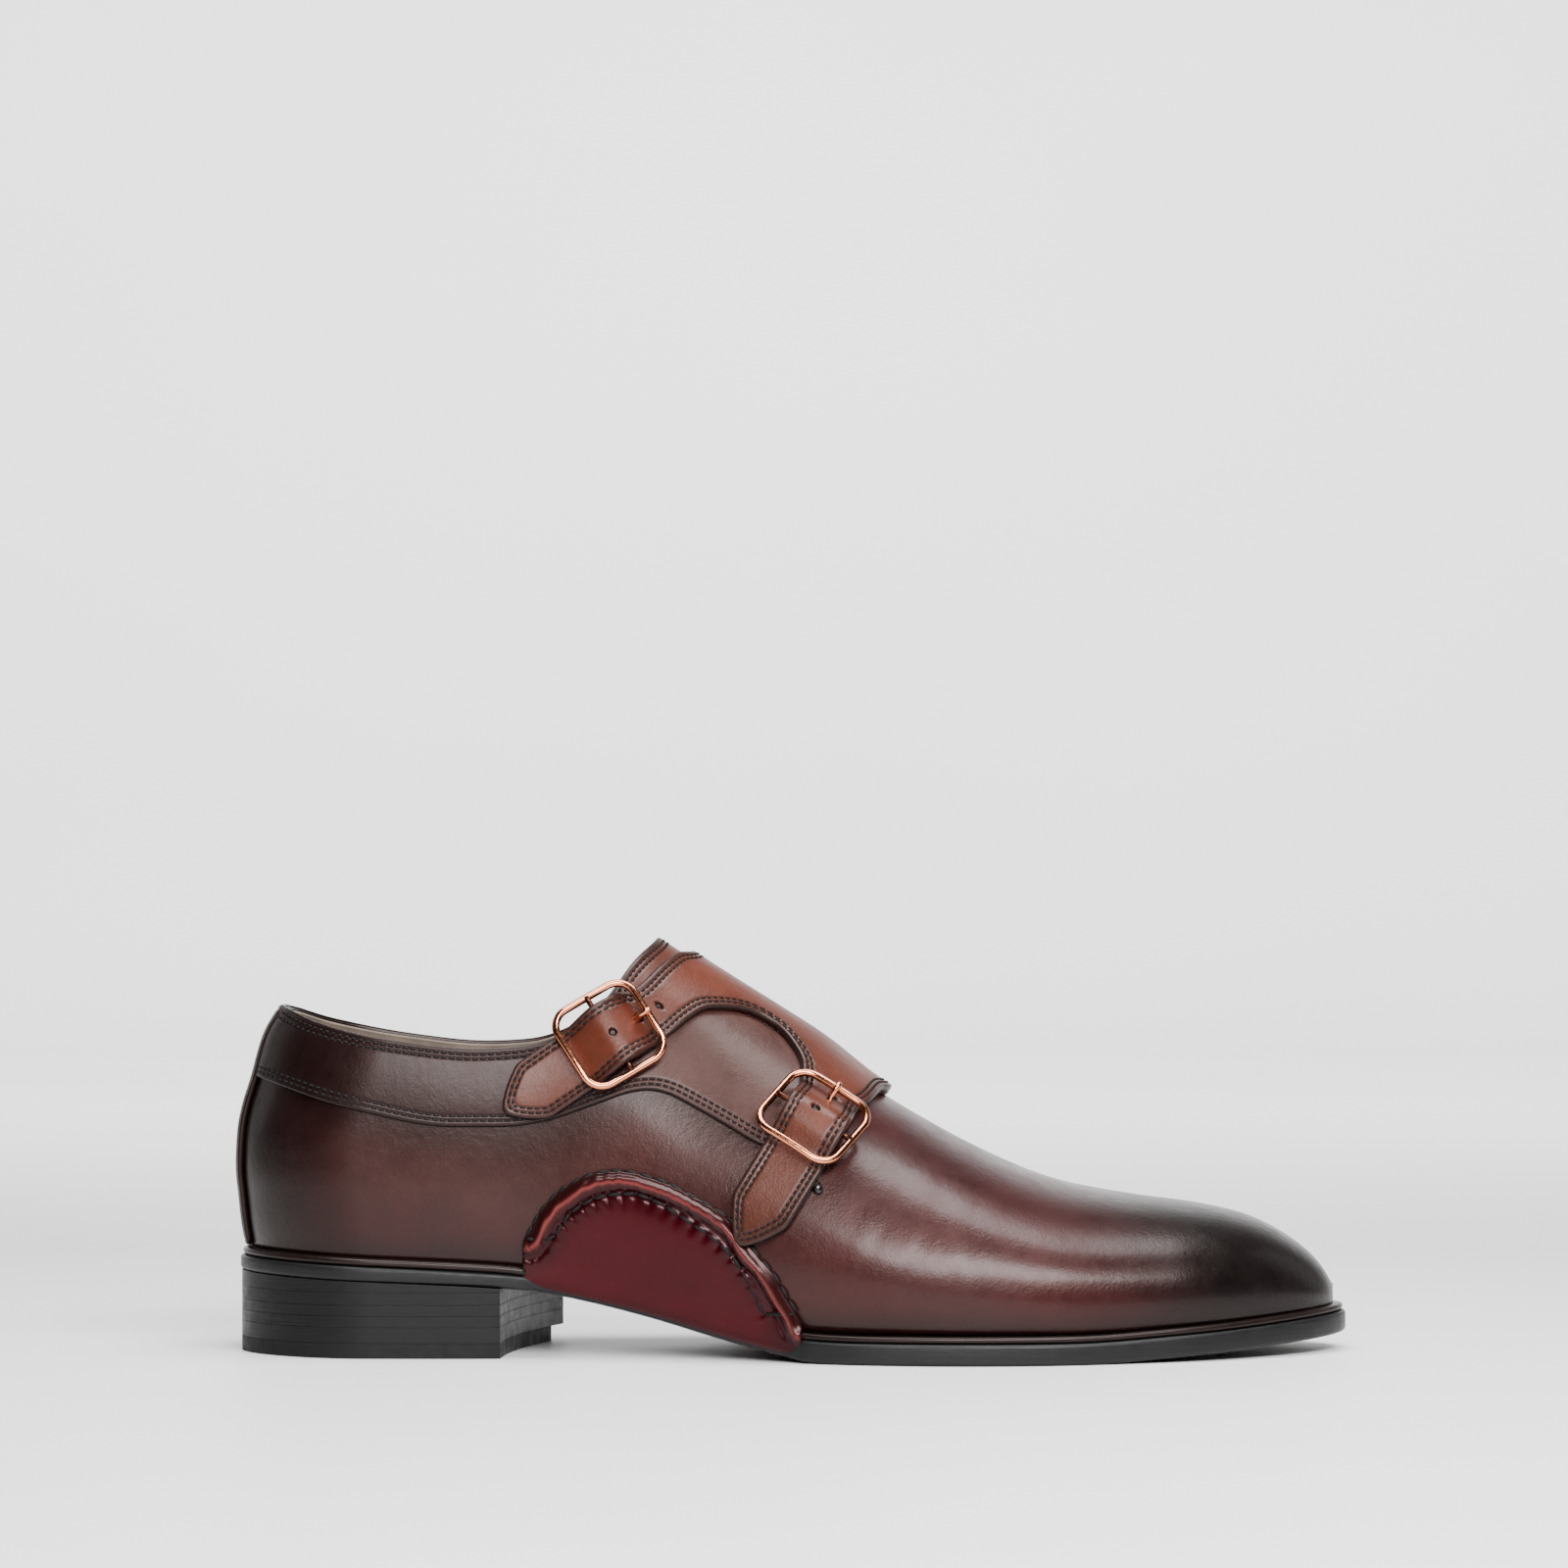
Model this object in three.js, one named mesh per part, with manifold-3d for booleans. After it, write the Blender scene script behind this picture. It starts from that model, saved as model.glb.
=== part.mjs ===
import * as THREE from "three";
import { mergeVertices } from "three/addons/utils/BufferGeometryUtils.js";
import Module from "manifold-3d";

const wasm = await Module();
wasm.setup();

// A double monk strap shoe for the right foot.
// Sizes in millimetres: +X to the toe, +Y to the medial side, +Z up, floor at zero.
const LENGTH = 305; // heel back to the tip of the outsole
const BALL = 100; // upper across the ball, at its lower edge
const INSTEP = 111.8; // highest point of the topline above the floor
const HEEL_CENTRE = 40.4; // heel back to the origin
const HEEL_RISE = 22.3; // outsole's underside above the floor at the seat
const TOE_SPRING = 5; // outsole's underside above the floor at the tip
const SOLE_THIN = 4; // outsole at the seat and waist
const SOLE_THICK = 5.8; // outsole at the forefoot
const WELT_STACK = 2.2; // outsole's top to the upper's lower edge
const GAP = 0.3; // between curved pieces that meet
const WALL = 2; // upper and tongue
const PANEL_UNDER = GAP; // levels above the upper's outer face
const PANEL_OVER = 1.3;
const STAY_OVER = 1.5;
const STRAP_OVER = 3.4;
const WING_OVER = 2.1;
const WING_LIP = 3.1;
const HEEL_ROUND = 34; // length of the heel's round end in plan
const TOE_ROUND = 47; // length of the toe's round end in plan
const TOE_TIP = 301.4; // heel back to the tip of the upper
const BACK_IN = 30; // unit of the heel curve's table
const BELLY_UP = 0.22; // height share at which a section is widest
const BELLY_TURN = 0.2; // share of a section's rows below that height
const SKIRT = 4; // length by which a form is drawn down below its lower edge
const RAND_END = 80.9; // heel back to the front end of the rand
const WELT_END = 153.3; // heel back to the rear end of the welt
const RAND_OUT = 2.4; // rand's bead beyond the upper's lower edge
const WELT_IN = 0.8; // welt's edge inside the outsole's edge
const SEAT_IN = 2.4; // inner edge of rand, waist and welt inside the upper's lower edge
const INSOLE_UP = 1.2; // insole's top above the upper's lower edge
const STAY_WIDTH = 13;
const TOP_PIECE = 4.2; // heights of the heel's layers above the floor
const LIFT_1 = 8.4;
const LIFT_2 = 14.4;
const HEEL_OUT = 2.7; // heel's sides beyond the upper's lower edge
const BREAST_MID = 80.3; // heel back to the middle of the heel's breast
const BREAST_TURN = 0.19; // radians, lateral corner further back
const BREAST_HOLLOW = 170; // radius of the breast's hollow
const CORNER_UP = 11; // height of the cut medial corner
const CORNER_ROUND = 11; // radius of that cut
const STRAP_WIDTH = 15.6; // seen from the side
const STRAP_THICK = 1.5; // over a buckle's centre bar
const HUMP_REACH = 10.5; // from a buckle's centre bar to where the strap lies flat again
const HOLE = 1.5; // radius of the strap's hole around a prong
const RIDGE_SIDE = 3; // where the flap's two halves are divided
const REACH = 90; // half depth of a side view cutter
const BUCKLE_LONG = 26; // buckle frame along the strap and across it
const BUCKLE_WIDE = 26.5;
const BUCKLE_CORNER = 6.5;
const WIRE = 2.1;
const BAR = 1.6;
const PRONG = 1.7;
const BAR_ROOM = BAR / 2 + GAP; // radius of the strap's channel around a centre bar
const BUCKLE_LEVEL = 5; // middle of a frame above the upper's outer face
const FRAME_FLAT = WIRE * 0.42; // flat share of the wire's faces
const FRAME_BEVEL = (WIRE - FRAME_FLAT) / 2;
const THICKEN_FROM = 0.3; // the outsole thickens over this stretch, shares of the length
const THICKEN_OVER = 0.2;
const LIP_WIDTH = 4.5; // raised band along the waist seam
const SEAT_OUT = 1; // waist seat beyond the upper's lower edge
const SOFT_EDGE = 1; // bevel of the outsole's lower edge
const SOFT_TOP = 0.6; // bevel of its upper edge and the welt's
const BEAD = 0.9; // bevel of the rand
const CORNER_AHEAD = 9; // middle of the cut corner, ahead of the breast and to the medial side
const CORNER_SIDE = 35;
const EDGE_ROOM = 1.5 * GAP; // growth of an outline that clears a neighbour
const BREAST_STEPS = 8;
const STEP = 1e-3; // change of a position on a form when its slope is taken
const UPPER_COLUMNS = 36;
const UPPER_ROWS = 8;
const STRAP_COLUMNS = 104;
const STRAP_ROWS = 15;

const rows = (names, ...values) =>
  values.map((row) => Object.fromEntries(names.split(" ").map((name, i) => [name, row[i]])));

// Half widths and middle line of the lower edge, as shares of BALL, at shares of LENGTH.
const PLAN = rows(
  "at lateral medial axis",
  [0.0, 0.27, 0.27, 0.0],
  [0.1, 0.3, 0.305, 0.0],
  [0.2, 0.305, 0.31, 0.0],
  [0.27, 0.298, 0.295, 0.0],
  [0.33, 0.31, 0.275, 0.0],
  [0.4, 0.35, 0.285, 0.0],
  [0.46, 0.403, 0.32, 0.0],
  [0.52, 0.46, 0.372, 0.0],
  [0.58, 0.505, 0.425, 0.0],
  [0.655, 0.527, 0.468, 0.0],
  [0.72, 0.517, 0.462, 0.005],
  [0.78, 0.475, 0.42, 0.01],
  [0.84, 0.42, 0.365, 0.015],
  [0.9, 0.368, 0.312, 0.022],
  [0.95, 0.33, 0.276, 0.028],
  [1.0, 0.3, 0.245, 0.03],
);

// Height of the ridge as a share of INSTEP, and its side shift as a share of BALL.
const RIDGE = rows(
  "at high crest",
  [0.0, 1.06, 0.0],
  [0.32, 1.06, 0.01],
  [0.355, 1.04, 0.018],
  [0.379, 1.0, 0.022],
  [0.42, 0.926, 0.03],
  [0.483, 0.8175, 0.035],
  [0.526, 0.742, 0.035],
  [0.568, 0.65, 0.035],
  [0.6, 0.595, 0.034],
  [0.66, 0.504, 0.03],
  [0.719, 0.432, 0.024],
  [0.75, 0.406, 0.02],
  [0.807, 0.378, 0.012],
  [0.863, 0.358, 0.006],
  [0.905, 0.333, 0.003],
  [0.933, 0.301, 0.002],
  [0.961, 0.25, 0.001],
  [0.981, 0.197, 0.0],
  [0.989, 0.151, 0.0],
);

// A section's widest part against its lower edge, and how full it is up to the ridge
// (below 1 square, above 1 peaked), on each side.
const FORM = rows(
  "at belly fullLateral fullMedial",
  [0.0, 1.05, 0.86, 0.86],
  [0.15, 1.06, 0.86, 0.86],
  [0.26, 1.08, 0.92, 0.9],
  [0.33, 1.12, 1.04, 0.96],
  [0.39, 1.13, 1.2, 1.05],
  [0.47, 1.1, 1.28, 1.1],
  [0.55, 1.06, 1.25, 1.08],
  [0.64, 1.04, 1.12, 1.0],
  [0.75, 1.03, 1.0, 0.94],
  [0.86, 1.02, 0.92, 0.88],
  [1.0, 1.0, 0.85, 0.85],
);

// Heel curve seen from the side: distance in from the back as a share of BACK_IN.
const BACK = rows(
  "at in",
  [0.0, 0.143],
  [0.08, 0.1],
  [0.166, 0.073],
  [0.24, 0.05],
  [0.344, 0.063],
  [0.417, 0.1],
  [0.51, 0.187],
  [0.587, 0.247],
  [0.644, 0.3],
  [0.711, 0.42],
  [0.75, 0.5],
  [1.0, 0.9],
);

// Outsole: its rise as a share of HEEL_RISE, its toe spring, and its edge beyond the upper.
const SOLE = rows(
  "at pitch spring out",
  [0.0, 1.0, 0.0, 3.1],
  [0.12, 0.93, 0.0, 2.9],
  [0.25, 0.84, 0.0, 2.0],
  [0.3, 0.72, 0.0, 1.6],
  [0.34, 0.6, 0.0, 1.5],
  [0.385, 0.444, 0.0, 1.5],
  [0.425, 0.287, 0.0, 1.6],
  [0.47, 0.13, 0.0, 2.0],
  [0.51, 0.02, 0.0, 3.3],
  [0.56, 0.0, 0.0, 4.1],
  [0.76, 0.0, 0.0, 4.1],
  [0.82, 0.0, 0.2, 3.9],
  [0.9, 0.0, 0.5, 3.7],
  [0.95, 0.0, 0.75, 3.6],
  [1.0, 0.0, 1.0, 3.5],
);

// Side view outlines: shares of LENGTH from the heel back and of INSTEP above the floor.
const TOPLINE = rows(
  "at high",
  [-0.06, 0.93],
  [0.0, 0.872],
  [0.044, 0.842],
  [0.08, 0.804],
  [0.152, 0.763],
  [0.222, 0.744],
  [0.262, 0.75],
  [0.287, 0.768],
  [0.319, 0.82],
  [0.342, 0.888],
  [0.357, 0.951],
  [0.379, 1.003],
);
const PANEL_SEAM = rows(
  "at high",
  [-0.05, 0.7],
  [0.018, 0.672],
  [0.104, 0.606],
  [0.2, 0.56],
  [0.247, 0.56],
  [0.279, 0.572],
  [0.33, 0.617],
  [0.368, 0.648],
);
const PANEL_FRONT = rows(
  "at high",
  [0.368, 0.648],
  [0.389, 0.64],
  [0.414, 0.606],
  [0.44, 0.567],
  [0.475, 0.515],
  [0.5, 0.52],
  [0.522, 0.6],
  [0.525, 0.7],
  [0.49, 0.8],
  [0.44, 0.86],
  [0.395, 0.86],
  [0.35, 0.84],
  [0.318, 0.8],
  [0.29, 0.765],
  [0.28, 0.83],
);
const FLAP_REAR = rows(
  "at high",
  [0.418, 1.03],
  [0.41, 0.986],
  [0.392, 0.96],
  [0.377, 0.926],
  [0.361, 0.882],
  [0.351, 0.866],
);
const FLAP_NOTCH = rows(
  "at high",
  [0.384, 0.758],
  [0.391, 0.769],
  [0.409, 0.809],
  [0.424, 0.826],
  [0.444, 0.823],
  [0.465, 0.809],
  [0.485, 0.775],
  [0.498, 0.734],
  [0.506, 0.693],
  [0.506, 0.651],
);
const FLAP_FRONT = rows(
  "at high",
  [0.555, 0.584],
  [0.565, 0.596],
  [0.577, 0.626],
  [0.59, 0.656],
  [0.607, 0.71],
);
const FLAP_MEDIAL = rows(
  "at high",
  [0.418, 1.03],
  [0.4, 0.95],
  [0.37, 0.86],
  [0.335, 0.77],
  [0.33, 0.62],
  [0.36, 0.475],
  [0.43, 0.445],
  [0.49, 0.465],
  [0.55, 0.56],
  [0.585, 0.645],
  [0.607, 0.71],
);
const TONGUE_EDGE = rows(
  "at high",
  [0.3, 0.77],
  [0.335, 0.765],
  [0.375, 0.8],
  [0.42, 0.83],
  [0.47, 0.81],
  [0.5, 0.77],
  [0.53, 0.76],
);
const WING_EDGE = rows(
  "at high",
  [0.268, 0.205],
  [0.275, 0.262],
  [0.284, 0.315],
  [0.301, 0.378],
  [0.321, 0.419],
  [0.351, 0.436],
  [0.376, 0.421],
  [0.401, 0.394],
  [0.426, 0.352],
  [0.447, 0.307],
  [0.468, 0.247],
  [0.483, 0.167],
  [0.497, 0.095],
);

// Straps: tip in the side view, slope of the middle line in degrees, length, and the
// share of the width at which the blunt end is shouldered.
const STRAPS = {
  rear: { at: 0.245, high: 0.594, slope: 33.4, long: 3.2, point: 0.51, nose: 0.3 },
  front: { at: 0.455, high: 0.281, slope: 58, long: 3.08, point: 0.64, nose: 0.3 },
};
const BUCKLES = {
  rear: { at: 0.3385, high: 0.768, slope: 33.4 },
  front: { at: 0.5165, high: 0.561, slope: 58 },
};

// A monotone cubic curve through one column of a table.
function curve(table, key, by = "at") {
  const t = table.map((row) => row[by]);
  const y = table.map((row) => row[key]);
  const n = t.length;
  const slope = t.slice(1).map((value, i) => (y[i + 1] - y[i]) / (value - t[i]));
  const tangent = y.map((_, i) => {
    if (i === 0) return slope[0];
    if (i === n - 1) return slope[n - 2];
    const [a, b] = [slope[i - 1], slope[i]];
    return a * b <= 0 ? 0 : (2 * a * b) / (a + b);
  });
  return (place) => {
    const p = Math.min(Math.max(place, t[0]), t[n - 1]);
    let i = 0;
    while (i < n - 2 && p > t[i + 1]) i += 1;
    const h = t[i + 1] - t[i];
    const u = (p - t[i]) / h;
    const rise = u * u * (3 - 2 * u);
    const start = u * (1 - u) * (1 - u);
    const end = u * u * (u - 1);
    return y[i] + (y[i + 1] - y[i]) * rise + h * (tangent[i] * start + tangent[i + 1] * end);
  };
}

const lateralHalf = curve(PLAN, "lateral");
const medialHalf = curve(PLAN, "medial");
const axisShift = curve(PLAN, "axis");
const ridgeHigh = curve(RIDGE, "high");
const ridgeCrest = curve(RIDGE, "crest");
const bellyShare = curve(FORM, "belly");
const fullLateral = curve(FORM, "fullLateral");
const fullMedial = curve(FORM, "fullMedial");
const backIn = curve(BACK, "in");
const solePitch = curve(SOLE, "pitch");
const soleSpring = curve(SOLE, "spring");
const soleOut = curve(SOLE, "out");

// Heights above the floor at a distance x from the heel back.
const soleLow = (x) => HEEL_RISE * solePitch(x / LENGTH) + TOE_SPRING * soleSpring(x / LENGTH);
const soleTop = (x) => {
  const share = THREE.MathUtils.clamp((x / LENGTH - THICKEN_FROM) / THICKEN_OVER, 0, 1);
  return soleLow(x) + THREE.MathUtils.lerp(SOLE_THIN, SOLE_THICK, share);
};
const lowerEdge = (x) => soleTop(x) + WELT_STACK;
const level = (height) => () => height;

const roundEnd = (distance, length) =>
  distance >= length ? 1 : Math.sqrt(Math.max(0, 1 - (1 - distance / length) ** 2));

// Half width of the shoe in plan at x, a margin beyond the upper's lower edge.
function halfWidth(side, x, margin, from, to) {
  const half = (side < 0 ? lateralHalf : medialHalf)(x / LENGTH) * BALL + margin;
  return half * roundEnd(x - from, HEEL_ROUND + margin) * roundEnd(to - x, TOE_ROUND + margin);
}

// A point of the upper's outer face: turn runs 0 to pi from heel to toe, and around runs
// 0 to 1 from the lateral lower edge over the ridge to the medial one.
function facePoint(turn, around) {
  const side = around < 0.5 ? -1 : 1;
  const up = 1 - Math.abs(around * 2 - 1);
  const below = up < BELLY_TURN;
  const angle = below ? 0 : (((up - BELLY_TURN) / (1 - BELLY_TURN)) * Math.PI) / 2;
  const high = below ? (BELLY_UP * up) / BELLY_TURN : BELLY_UP + (1 - BELLY_UP) * Math.sin(angle);
  const from = backIn(high) * BACK_IN;
  const x = from + ((TOE_TIP - from) * (1 - Math.cos(turn))) / 2;
  const at = x / LENGTH;
  const belly = bellyShare(at);
  const full = (side < 0 ? fullLateral : fullMedial)(at);
  const wide = below
    ? 1 + (belly - 1) * Math.sin((up / BELLY_TURN) * (Math.PI / 2))
    : belly * Math.max(0, Math.cos(angle)) ** full;
  const low = lowerEdge(x);
  return new THREE.Vector3(
    x - HEEL_CENTRE,
    (axisShift(at) + ridgeCrest(at) * high * high) * BALL + side * wide * halfWidth(side, x, 0, from, TOE_TIP),
    low + (ridgeHigh(at) * INSTEP - low) * high,
  );
}


function faceNormal(turn, around) {
  const lower = Math.max(turn - STEP, 0);
  const upper = Math.min(turn + STEP, Math.PI);
  const along = facePoint(upper, around).sub(facePoint(lower, around));
  const left = Math.max(around - STEP, 0);
  const right = Math.min(around + STEP, 1);
  const across = facePoint(turn, right).sub(facePoint(turn, left));
  const normal = across.cross(along).negate();
  if (turn === 0 || turn === Math.PI) normal.y = 0;
  return normal.normalize();
}

function solid(geometry) {
  geometry.deleteAttribute("normal");
  geometry.deleteAttribute("uv");
  const merged = mergeVertices(geometry, 1e-4);
  const triVerts = [];
  for (let i = 0; i < merged.index.count; i += 3) {
    const [a, b, c] = [0, 1, 2].map((k) => merged.index.getX(i + k));
    if (a !== b && b !== c && c !== a) triVerts.push(a, b, c);
  }
  return new wasm.Manifold(
    new wasm.Mesh({
      numProp: 3,
      vertProperties: new Float32Array(merged.attributes.position.array),
      triVerts: new Uint32Array(triVerts),
    }),
  );
}

function geometryOf(points, faces) {
  const geometry = new THREE.BufferGeometry();
  geometry.setAttribute("position", new THREE.Float32BufferAttribute(points, 3));
  geometry.setIndex(faces);
  return geometry;
}

// Rings of equal length, joined in order and closed by the two caps that are given.
function joinRings(rings, caps) {
  const points = rings.flat().flatMap((p) => [p.x, p.y, p.z]);
  const count = rings[0].length;
  const faces = [];
  for (let r = 0; r < rings.length - 1; r += 1) {
    for (let i = 0; i < count; i += 1) {
      const j = (i + 1) % count;
      const [a, b] = [r * count + i, r * count + j];
      faces.push(a, b, b + count, a, b + count, a + count);
    }
  }
  const last = (rings.length - 1) * count;
  for (const [a, b, c] of caps) {
    faces.push(c, b, a, last + a, last + b, last + c);
  }
  return solid(geometryOf(points, faces));
}

// The closed form of the upper's outer face, moved out by an offset at each point.
function formSolid(offset, skirt, columns, perSide) {
  const away = typeof offset === "function" ? offset : level(offset);
  const count = perSide * 2;
  const grid = [];
  for (let i = 0; i <= columns; i += 1) {
    const turn = (Math.PI * i) / columns;
    const line = [];
    for (let j = 0; j <= count; j += 1) {
      const point = facePoint(turn, j / count);
      const normal = faceNormal(turn, j / count);
      line.push(point.clone().addScaledVector(normal, away(point, normal)));
    }
    if (i === 0 || i === columns) {
      for (let j = 0; j < perSide; j += 1) line[count - j] = line[j].clone();
    }
    const first = line[0].clone();
    const final = line[count].clone();
    first.z = lowerEdge(first.x + HEEL_CENTRE) - skirt;
    final.z = lowerEdge(final.x + HEEL_CENTRE) - skirt;
    grid.push([first, ...line, final]);
  }
  const width = count + 3;
  const points = grid.flat().flatMap((p) => [p.x, p.y, p.z]);
  const faces = [];
  for (let i = 0; i < columns; i += 1) {
    for (let j = 0; j < width; j += 1) {
      const k = (j + 1) % width;
      const [a, b] = [i * width + j, i * width + k];
      faces.push(a, b + width, b, a, a + width, b + width);
    }
  }
  return solid(geometryOf(points, faces));
}

// A flat layer that follows the shoe in plan; rings hold an inset and a share of its height.
function plate({ out, low, high, columns = 36, rings = [[0, 0], [0, 1]] }) {
  const margin = typeof out === "function" ? out : level(out);
  const from = backIn(0) * BACK_IN - margin(0);
  const to = TOE_TIP + margin(1);
  const ring = ([inset, share]) => {
    const place = (i) => {
      const turn = (Math.PI * i) / columns;
      return from + inset + ((to - from - 2 * inset) * (1 - Math.cos(turn))) / 2;
    };
    const point = (side, i) => {
      const x = place(i);
      const edge = margin(x / LENGTH) - inset;
      const y = axisShift(x / LENGTH) * BALL + side * halfWidth(side, x, edge, from + inset, to - inset);
      const z = THREE.MathUtils.lerp(low(x), high(x), share);
      return new THREE.Vector3(x - HEEL_CENTRE, y, z);
    };
    const points = [];
    for (let i = 0; i <= columns; i += 1) points.push(point(-1, i));
    for (let i = columns - 1; i > 0; i -= 1) points.push(point(1, i));
    return points;
  };
  const around = columns * 2;
  const caps = [];
  for (let i = 0; i < columns; i += 1) {
    const [a, b] = [i, i + 1];
    const [c, d] = [(around - i - 1) % around, (around - i) % around];
    caps.push([a, b, c], [a, c, d]);
  }
  return joinRings(rings.map(ring), caps);
}

const sideView = ({ at, high }) => new THREE.Vector2(at * LENGTH - HEEL_CENTRE, high * INSTEP);
const smoothLine = (table, steps) => new THREE.SplineCurve(table.map(sideView)).getPoints(steps);

// A cutter whose outline is seen from the side, between two distances from the middle.
function sidePrism(outline, from = -REACH, to = REACH) {
  const geometry = new THREE.ExtrudeGeometry(new THREE.Shape(outline), {
    depth: to - from,
    bevelEnabled: false,
  });
  geometry.rotateX(Math.PI / 2);
  geometry.translate(0, to, 0);
  return solid(geometry);
}

// A cutter whose outline is seen from above.
function planPrism(outline, low, high) {
  const geometry = new THREE.ExtrudeGeometry(new THREE.Shape(outline), {
    depth: high - low,
    bevelEnabled: false,
  });
  geometry.translate(0, 0, low);
  return solid(geometry);
}

// The part of a solid between two distances from the heel back.
function between(whole, from, to) {
  const box = new THREE.BoxGeometry(to - from, REACH * 2, REACH * 2);
  box.translate((from + to) / 2 - HEEL_CENTRE, 0, 0);
  return whole.intersect(solid(box));
}

// Everything on the lateral side (-1) or the medial side (1).
function halfOf(side) {
  const box = new THREE.BoxGeometry(LENGTH * 2, REACH, REACH * 4);
  box.translate(LENGTH / 2, (side * REACH) / 2, 0);
  return solid(box);
}

const corner = (at, high) => sideView({ at, high });
const grown = (outline, middle, by) =>
  outline.map((p) => {
    const ray = p.clone().sub(middle);
    return p.clone().addScaledVector(ray, by / ray.length());
  });

// Outlines
const collarCut = sidePrism([...smoothLine(TOPLINE, 30), corner(0.379, 1.6), corner(-0.06, 1.6)]);
const panelOutline = [
  ...smoothLine(PANEL_SEAM, 14),
  ...smoothLine(PANEL_FRONT, 26).slice(1),
  corner(0.28, 1.2),
  corner(-0.05, 1.2),
];
const panelMiddle = corner(0.33, 0.75);
const panelPrism = sidePrism(panelOutline);
const panelGrown = sidePrism(grown(panelOutline, panelMiddle, 2 * EDGE_ROOM));

function strapOutline({ at, high, slope, long, point, nose }) {
  const tip = corner(at, high);
  const angle = THREE.MathUtils.degToRad(slope);
  const half = STRAP_WIDTH / 2;
  const [end, shoulder] = [long * STRAP_WIDTH, point * STRAP_WIDTH];
  const profile = [
    [0, -half * nose],
    [shoulder * 0.35, -half * 0.72],
    [shoulder, -half],
    [end, -half],
    [end, half],
    [shoulder, half],
    [shoulder * 0.35, half * 0.72],
    [0, half * nose],
  ];
  return profile.map(([x, y]) => new THREE.Vector2(x, y).rotateAround(new THREE.Vector2(), angle).add(tip));
}

const flapBody = [
  ...smoothLine(FLAP_REAR, 8),
  ...smoothLine(FLAP_NOTCH, 16),
  ...smoothLine(FLAP_FRONT, 6),
  corner(0.56, 1.05),
];
const flapMedial = [...smoothLine(FLAP_MEDIAL, 20), corner(0.56, 1.05)];
const strapPrism = (strap) => sidePrism(strapOutline(strap), -REACH, RIDGE_SIDE);
const flapPrism = sidePrism(flapBody, -REACH, RIDGE_SIDE)
  .add(strapPrism(STRAPS.rear))
  .add(strapPrism(STRAPS.front))
  .add(sidePrism(flapMedial, RIDGE_SIDE, REACH));

const wingLine = smoothLine(WING_EDGE, 20);
const wingOutline = [...wingLine, corner(0.497, -0.1), corner(0.268, -0.1)];
const wingMiddle = corner(0.36, 0.02);
const wingGrown = sidePrism(grown(wingOutline, wingMiddle, EDGE_ROOM));
const wingInner = grown(wingLine, wingMiddle, -LIP_WIDTH);
const wingInnerOutline = [...wingInner, corner(0.478, -0.2), corner(0.285, -0.2)];

// Buckle places on the upper's outer face
function findFace(x, z) {
  let turn = Math.PI / 2;
  let around = 0.25;
  for (let pass = 0; pass < 60; pass += 1) {
    const here = facePoint(turn, around);
    const turned = facePoint(turn + STEP, around);
    const moved = facePoint(turn, around + STEP);
    const [a, b] = [(turned.x - here.x) / STEP, (moved.x - here.x) / STEP];
    const [c, d] = [(turned.z - here.z) / STEP, (moved.z - here.z) / STEP];
    const [dx, dz] = [x - here.x, z - here.z];
    const scale = a * d - b * c;
    turn += (0.6 * (dx * d - b * dz)) / scale;
    around += (0.6 * (a * dz - c * dx)) / scale;
    turn = THREE.MathUtils.clamp(turn, 0.1, Math.PI - 0.1);
    around = THREE.MathUtils.clamp(around, 0.02, 0.48);
  }
  return { point: facePoint(turn, around), normal: faceNormal(turn, around) };
}

function bucklePlace({ at, high, slope }) {
  const spot = corner(at, high);
  const { point, normal } = findFace(spot.x, spot.y);
  const angle = THREE.MathUtils.degToRad(slope);
  const along = new THREE.Vector3(Math.cos(angle), 0, Math.sin(angle));
  along.addScaledVector(normal, -along.dot(normal)).normalize();
  const across = new THREE.Vector3().crossVectors(normal, along);
  const place = new THREE.Matrix4().makeBasis(along, across, normal);
  place.setPosition(point.clone().addScaledVector(normal, BUCKLE_LEVEL));
  return { place, point, along, plane: normal };
}

const placed = { rear: bucklePlace(BUCKLES.rear), front: bucklePlace(BUCKLES.front) };

// Level of a strap's face at a point of the upper: it rises over each buckle's centre bar.
function strapAway(point, normal) {
  for (const { place, point: middle, along, plane } of Object.values(placed)) {
    const ray = point.clone().sub(middle);
    const run = ray.dot(along);
    const off = ray.addScaledVector(along, -run).length();
    if (Math.abs(run) < HUMP_REACH && off < STRAP_WIDTH) {
      const centre = new THREE.Vector3().setFromMatrixPosition(place);
      const above = BAR_ROOM + STRAP_THICK;
      const raised = (above - point.clone().sub(centre).dot(plane)) / normal.dot(plane);
      const share = Math.cos(((run / HUMP_REACH) * Math.PI) / 2) ** 2;
      return THREE.MathUtils.lerp(STRAP_OVER, raised, share);
    }
  }
  return STRAP_OVER;
}

// Upper, tongue and the pieces laid on them
const shell = formSolid(0, 0, UPPER_COLUMNS, UPPER_ROWS)
  .subtract(formSolid(-WALL, SKIRT, UPPER_COLUMNS, UPPER_ROWS))
  .subtract(collarCut);
const tongueLine = smoothLine(TONGUE_EDGE, 16);
const tongueTop = [corner(0.56, 1.05), corner(0.4, 1.4), corner(0.3, 1.4)];
const tongueOutline = [...tongueLine, ...tongueTop];
const tonguePrism = sidePrism(tongueOutline);
const tongueGrown = sidePrism(grown(tongueOutline, corner(0.42, 1.1), EDGE_ROOM));
const upper = shell.subtract(tongueGrown);
const tongue = shell.intersect(tonguePrism);

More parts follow.
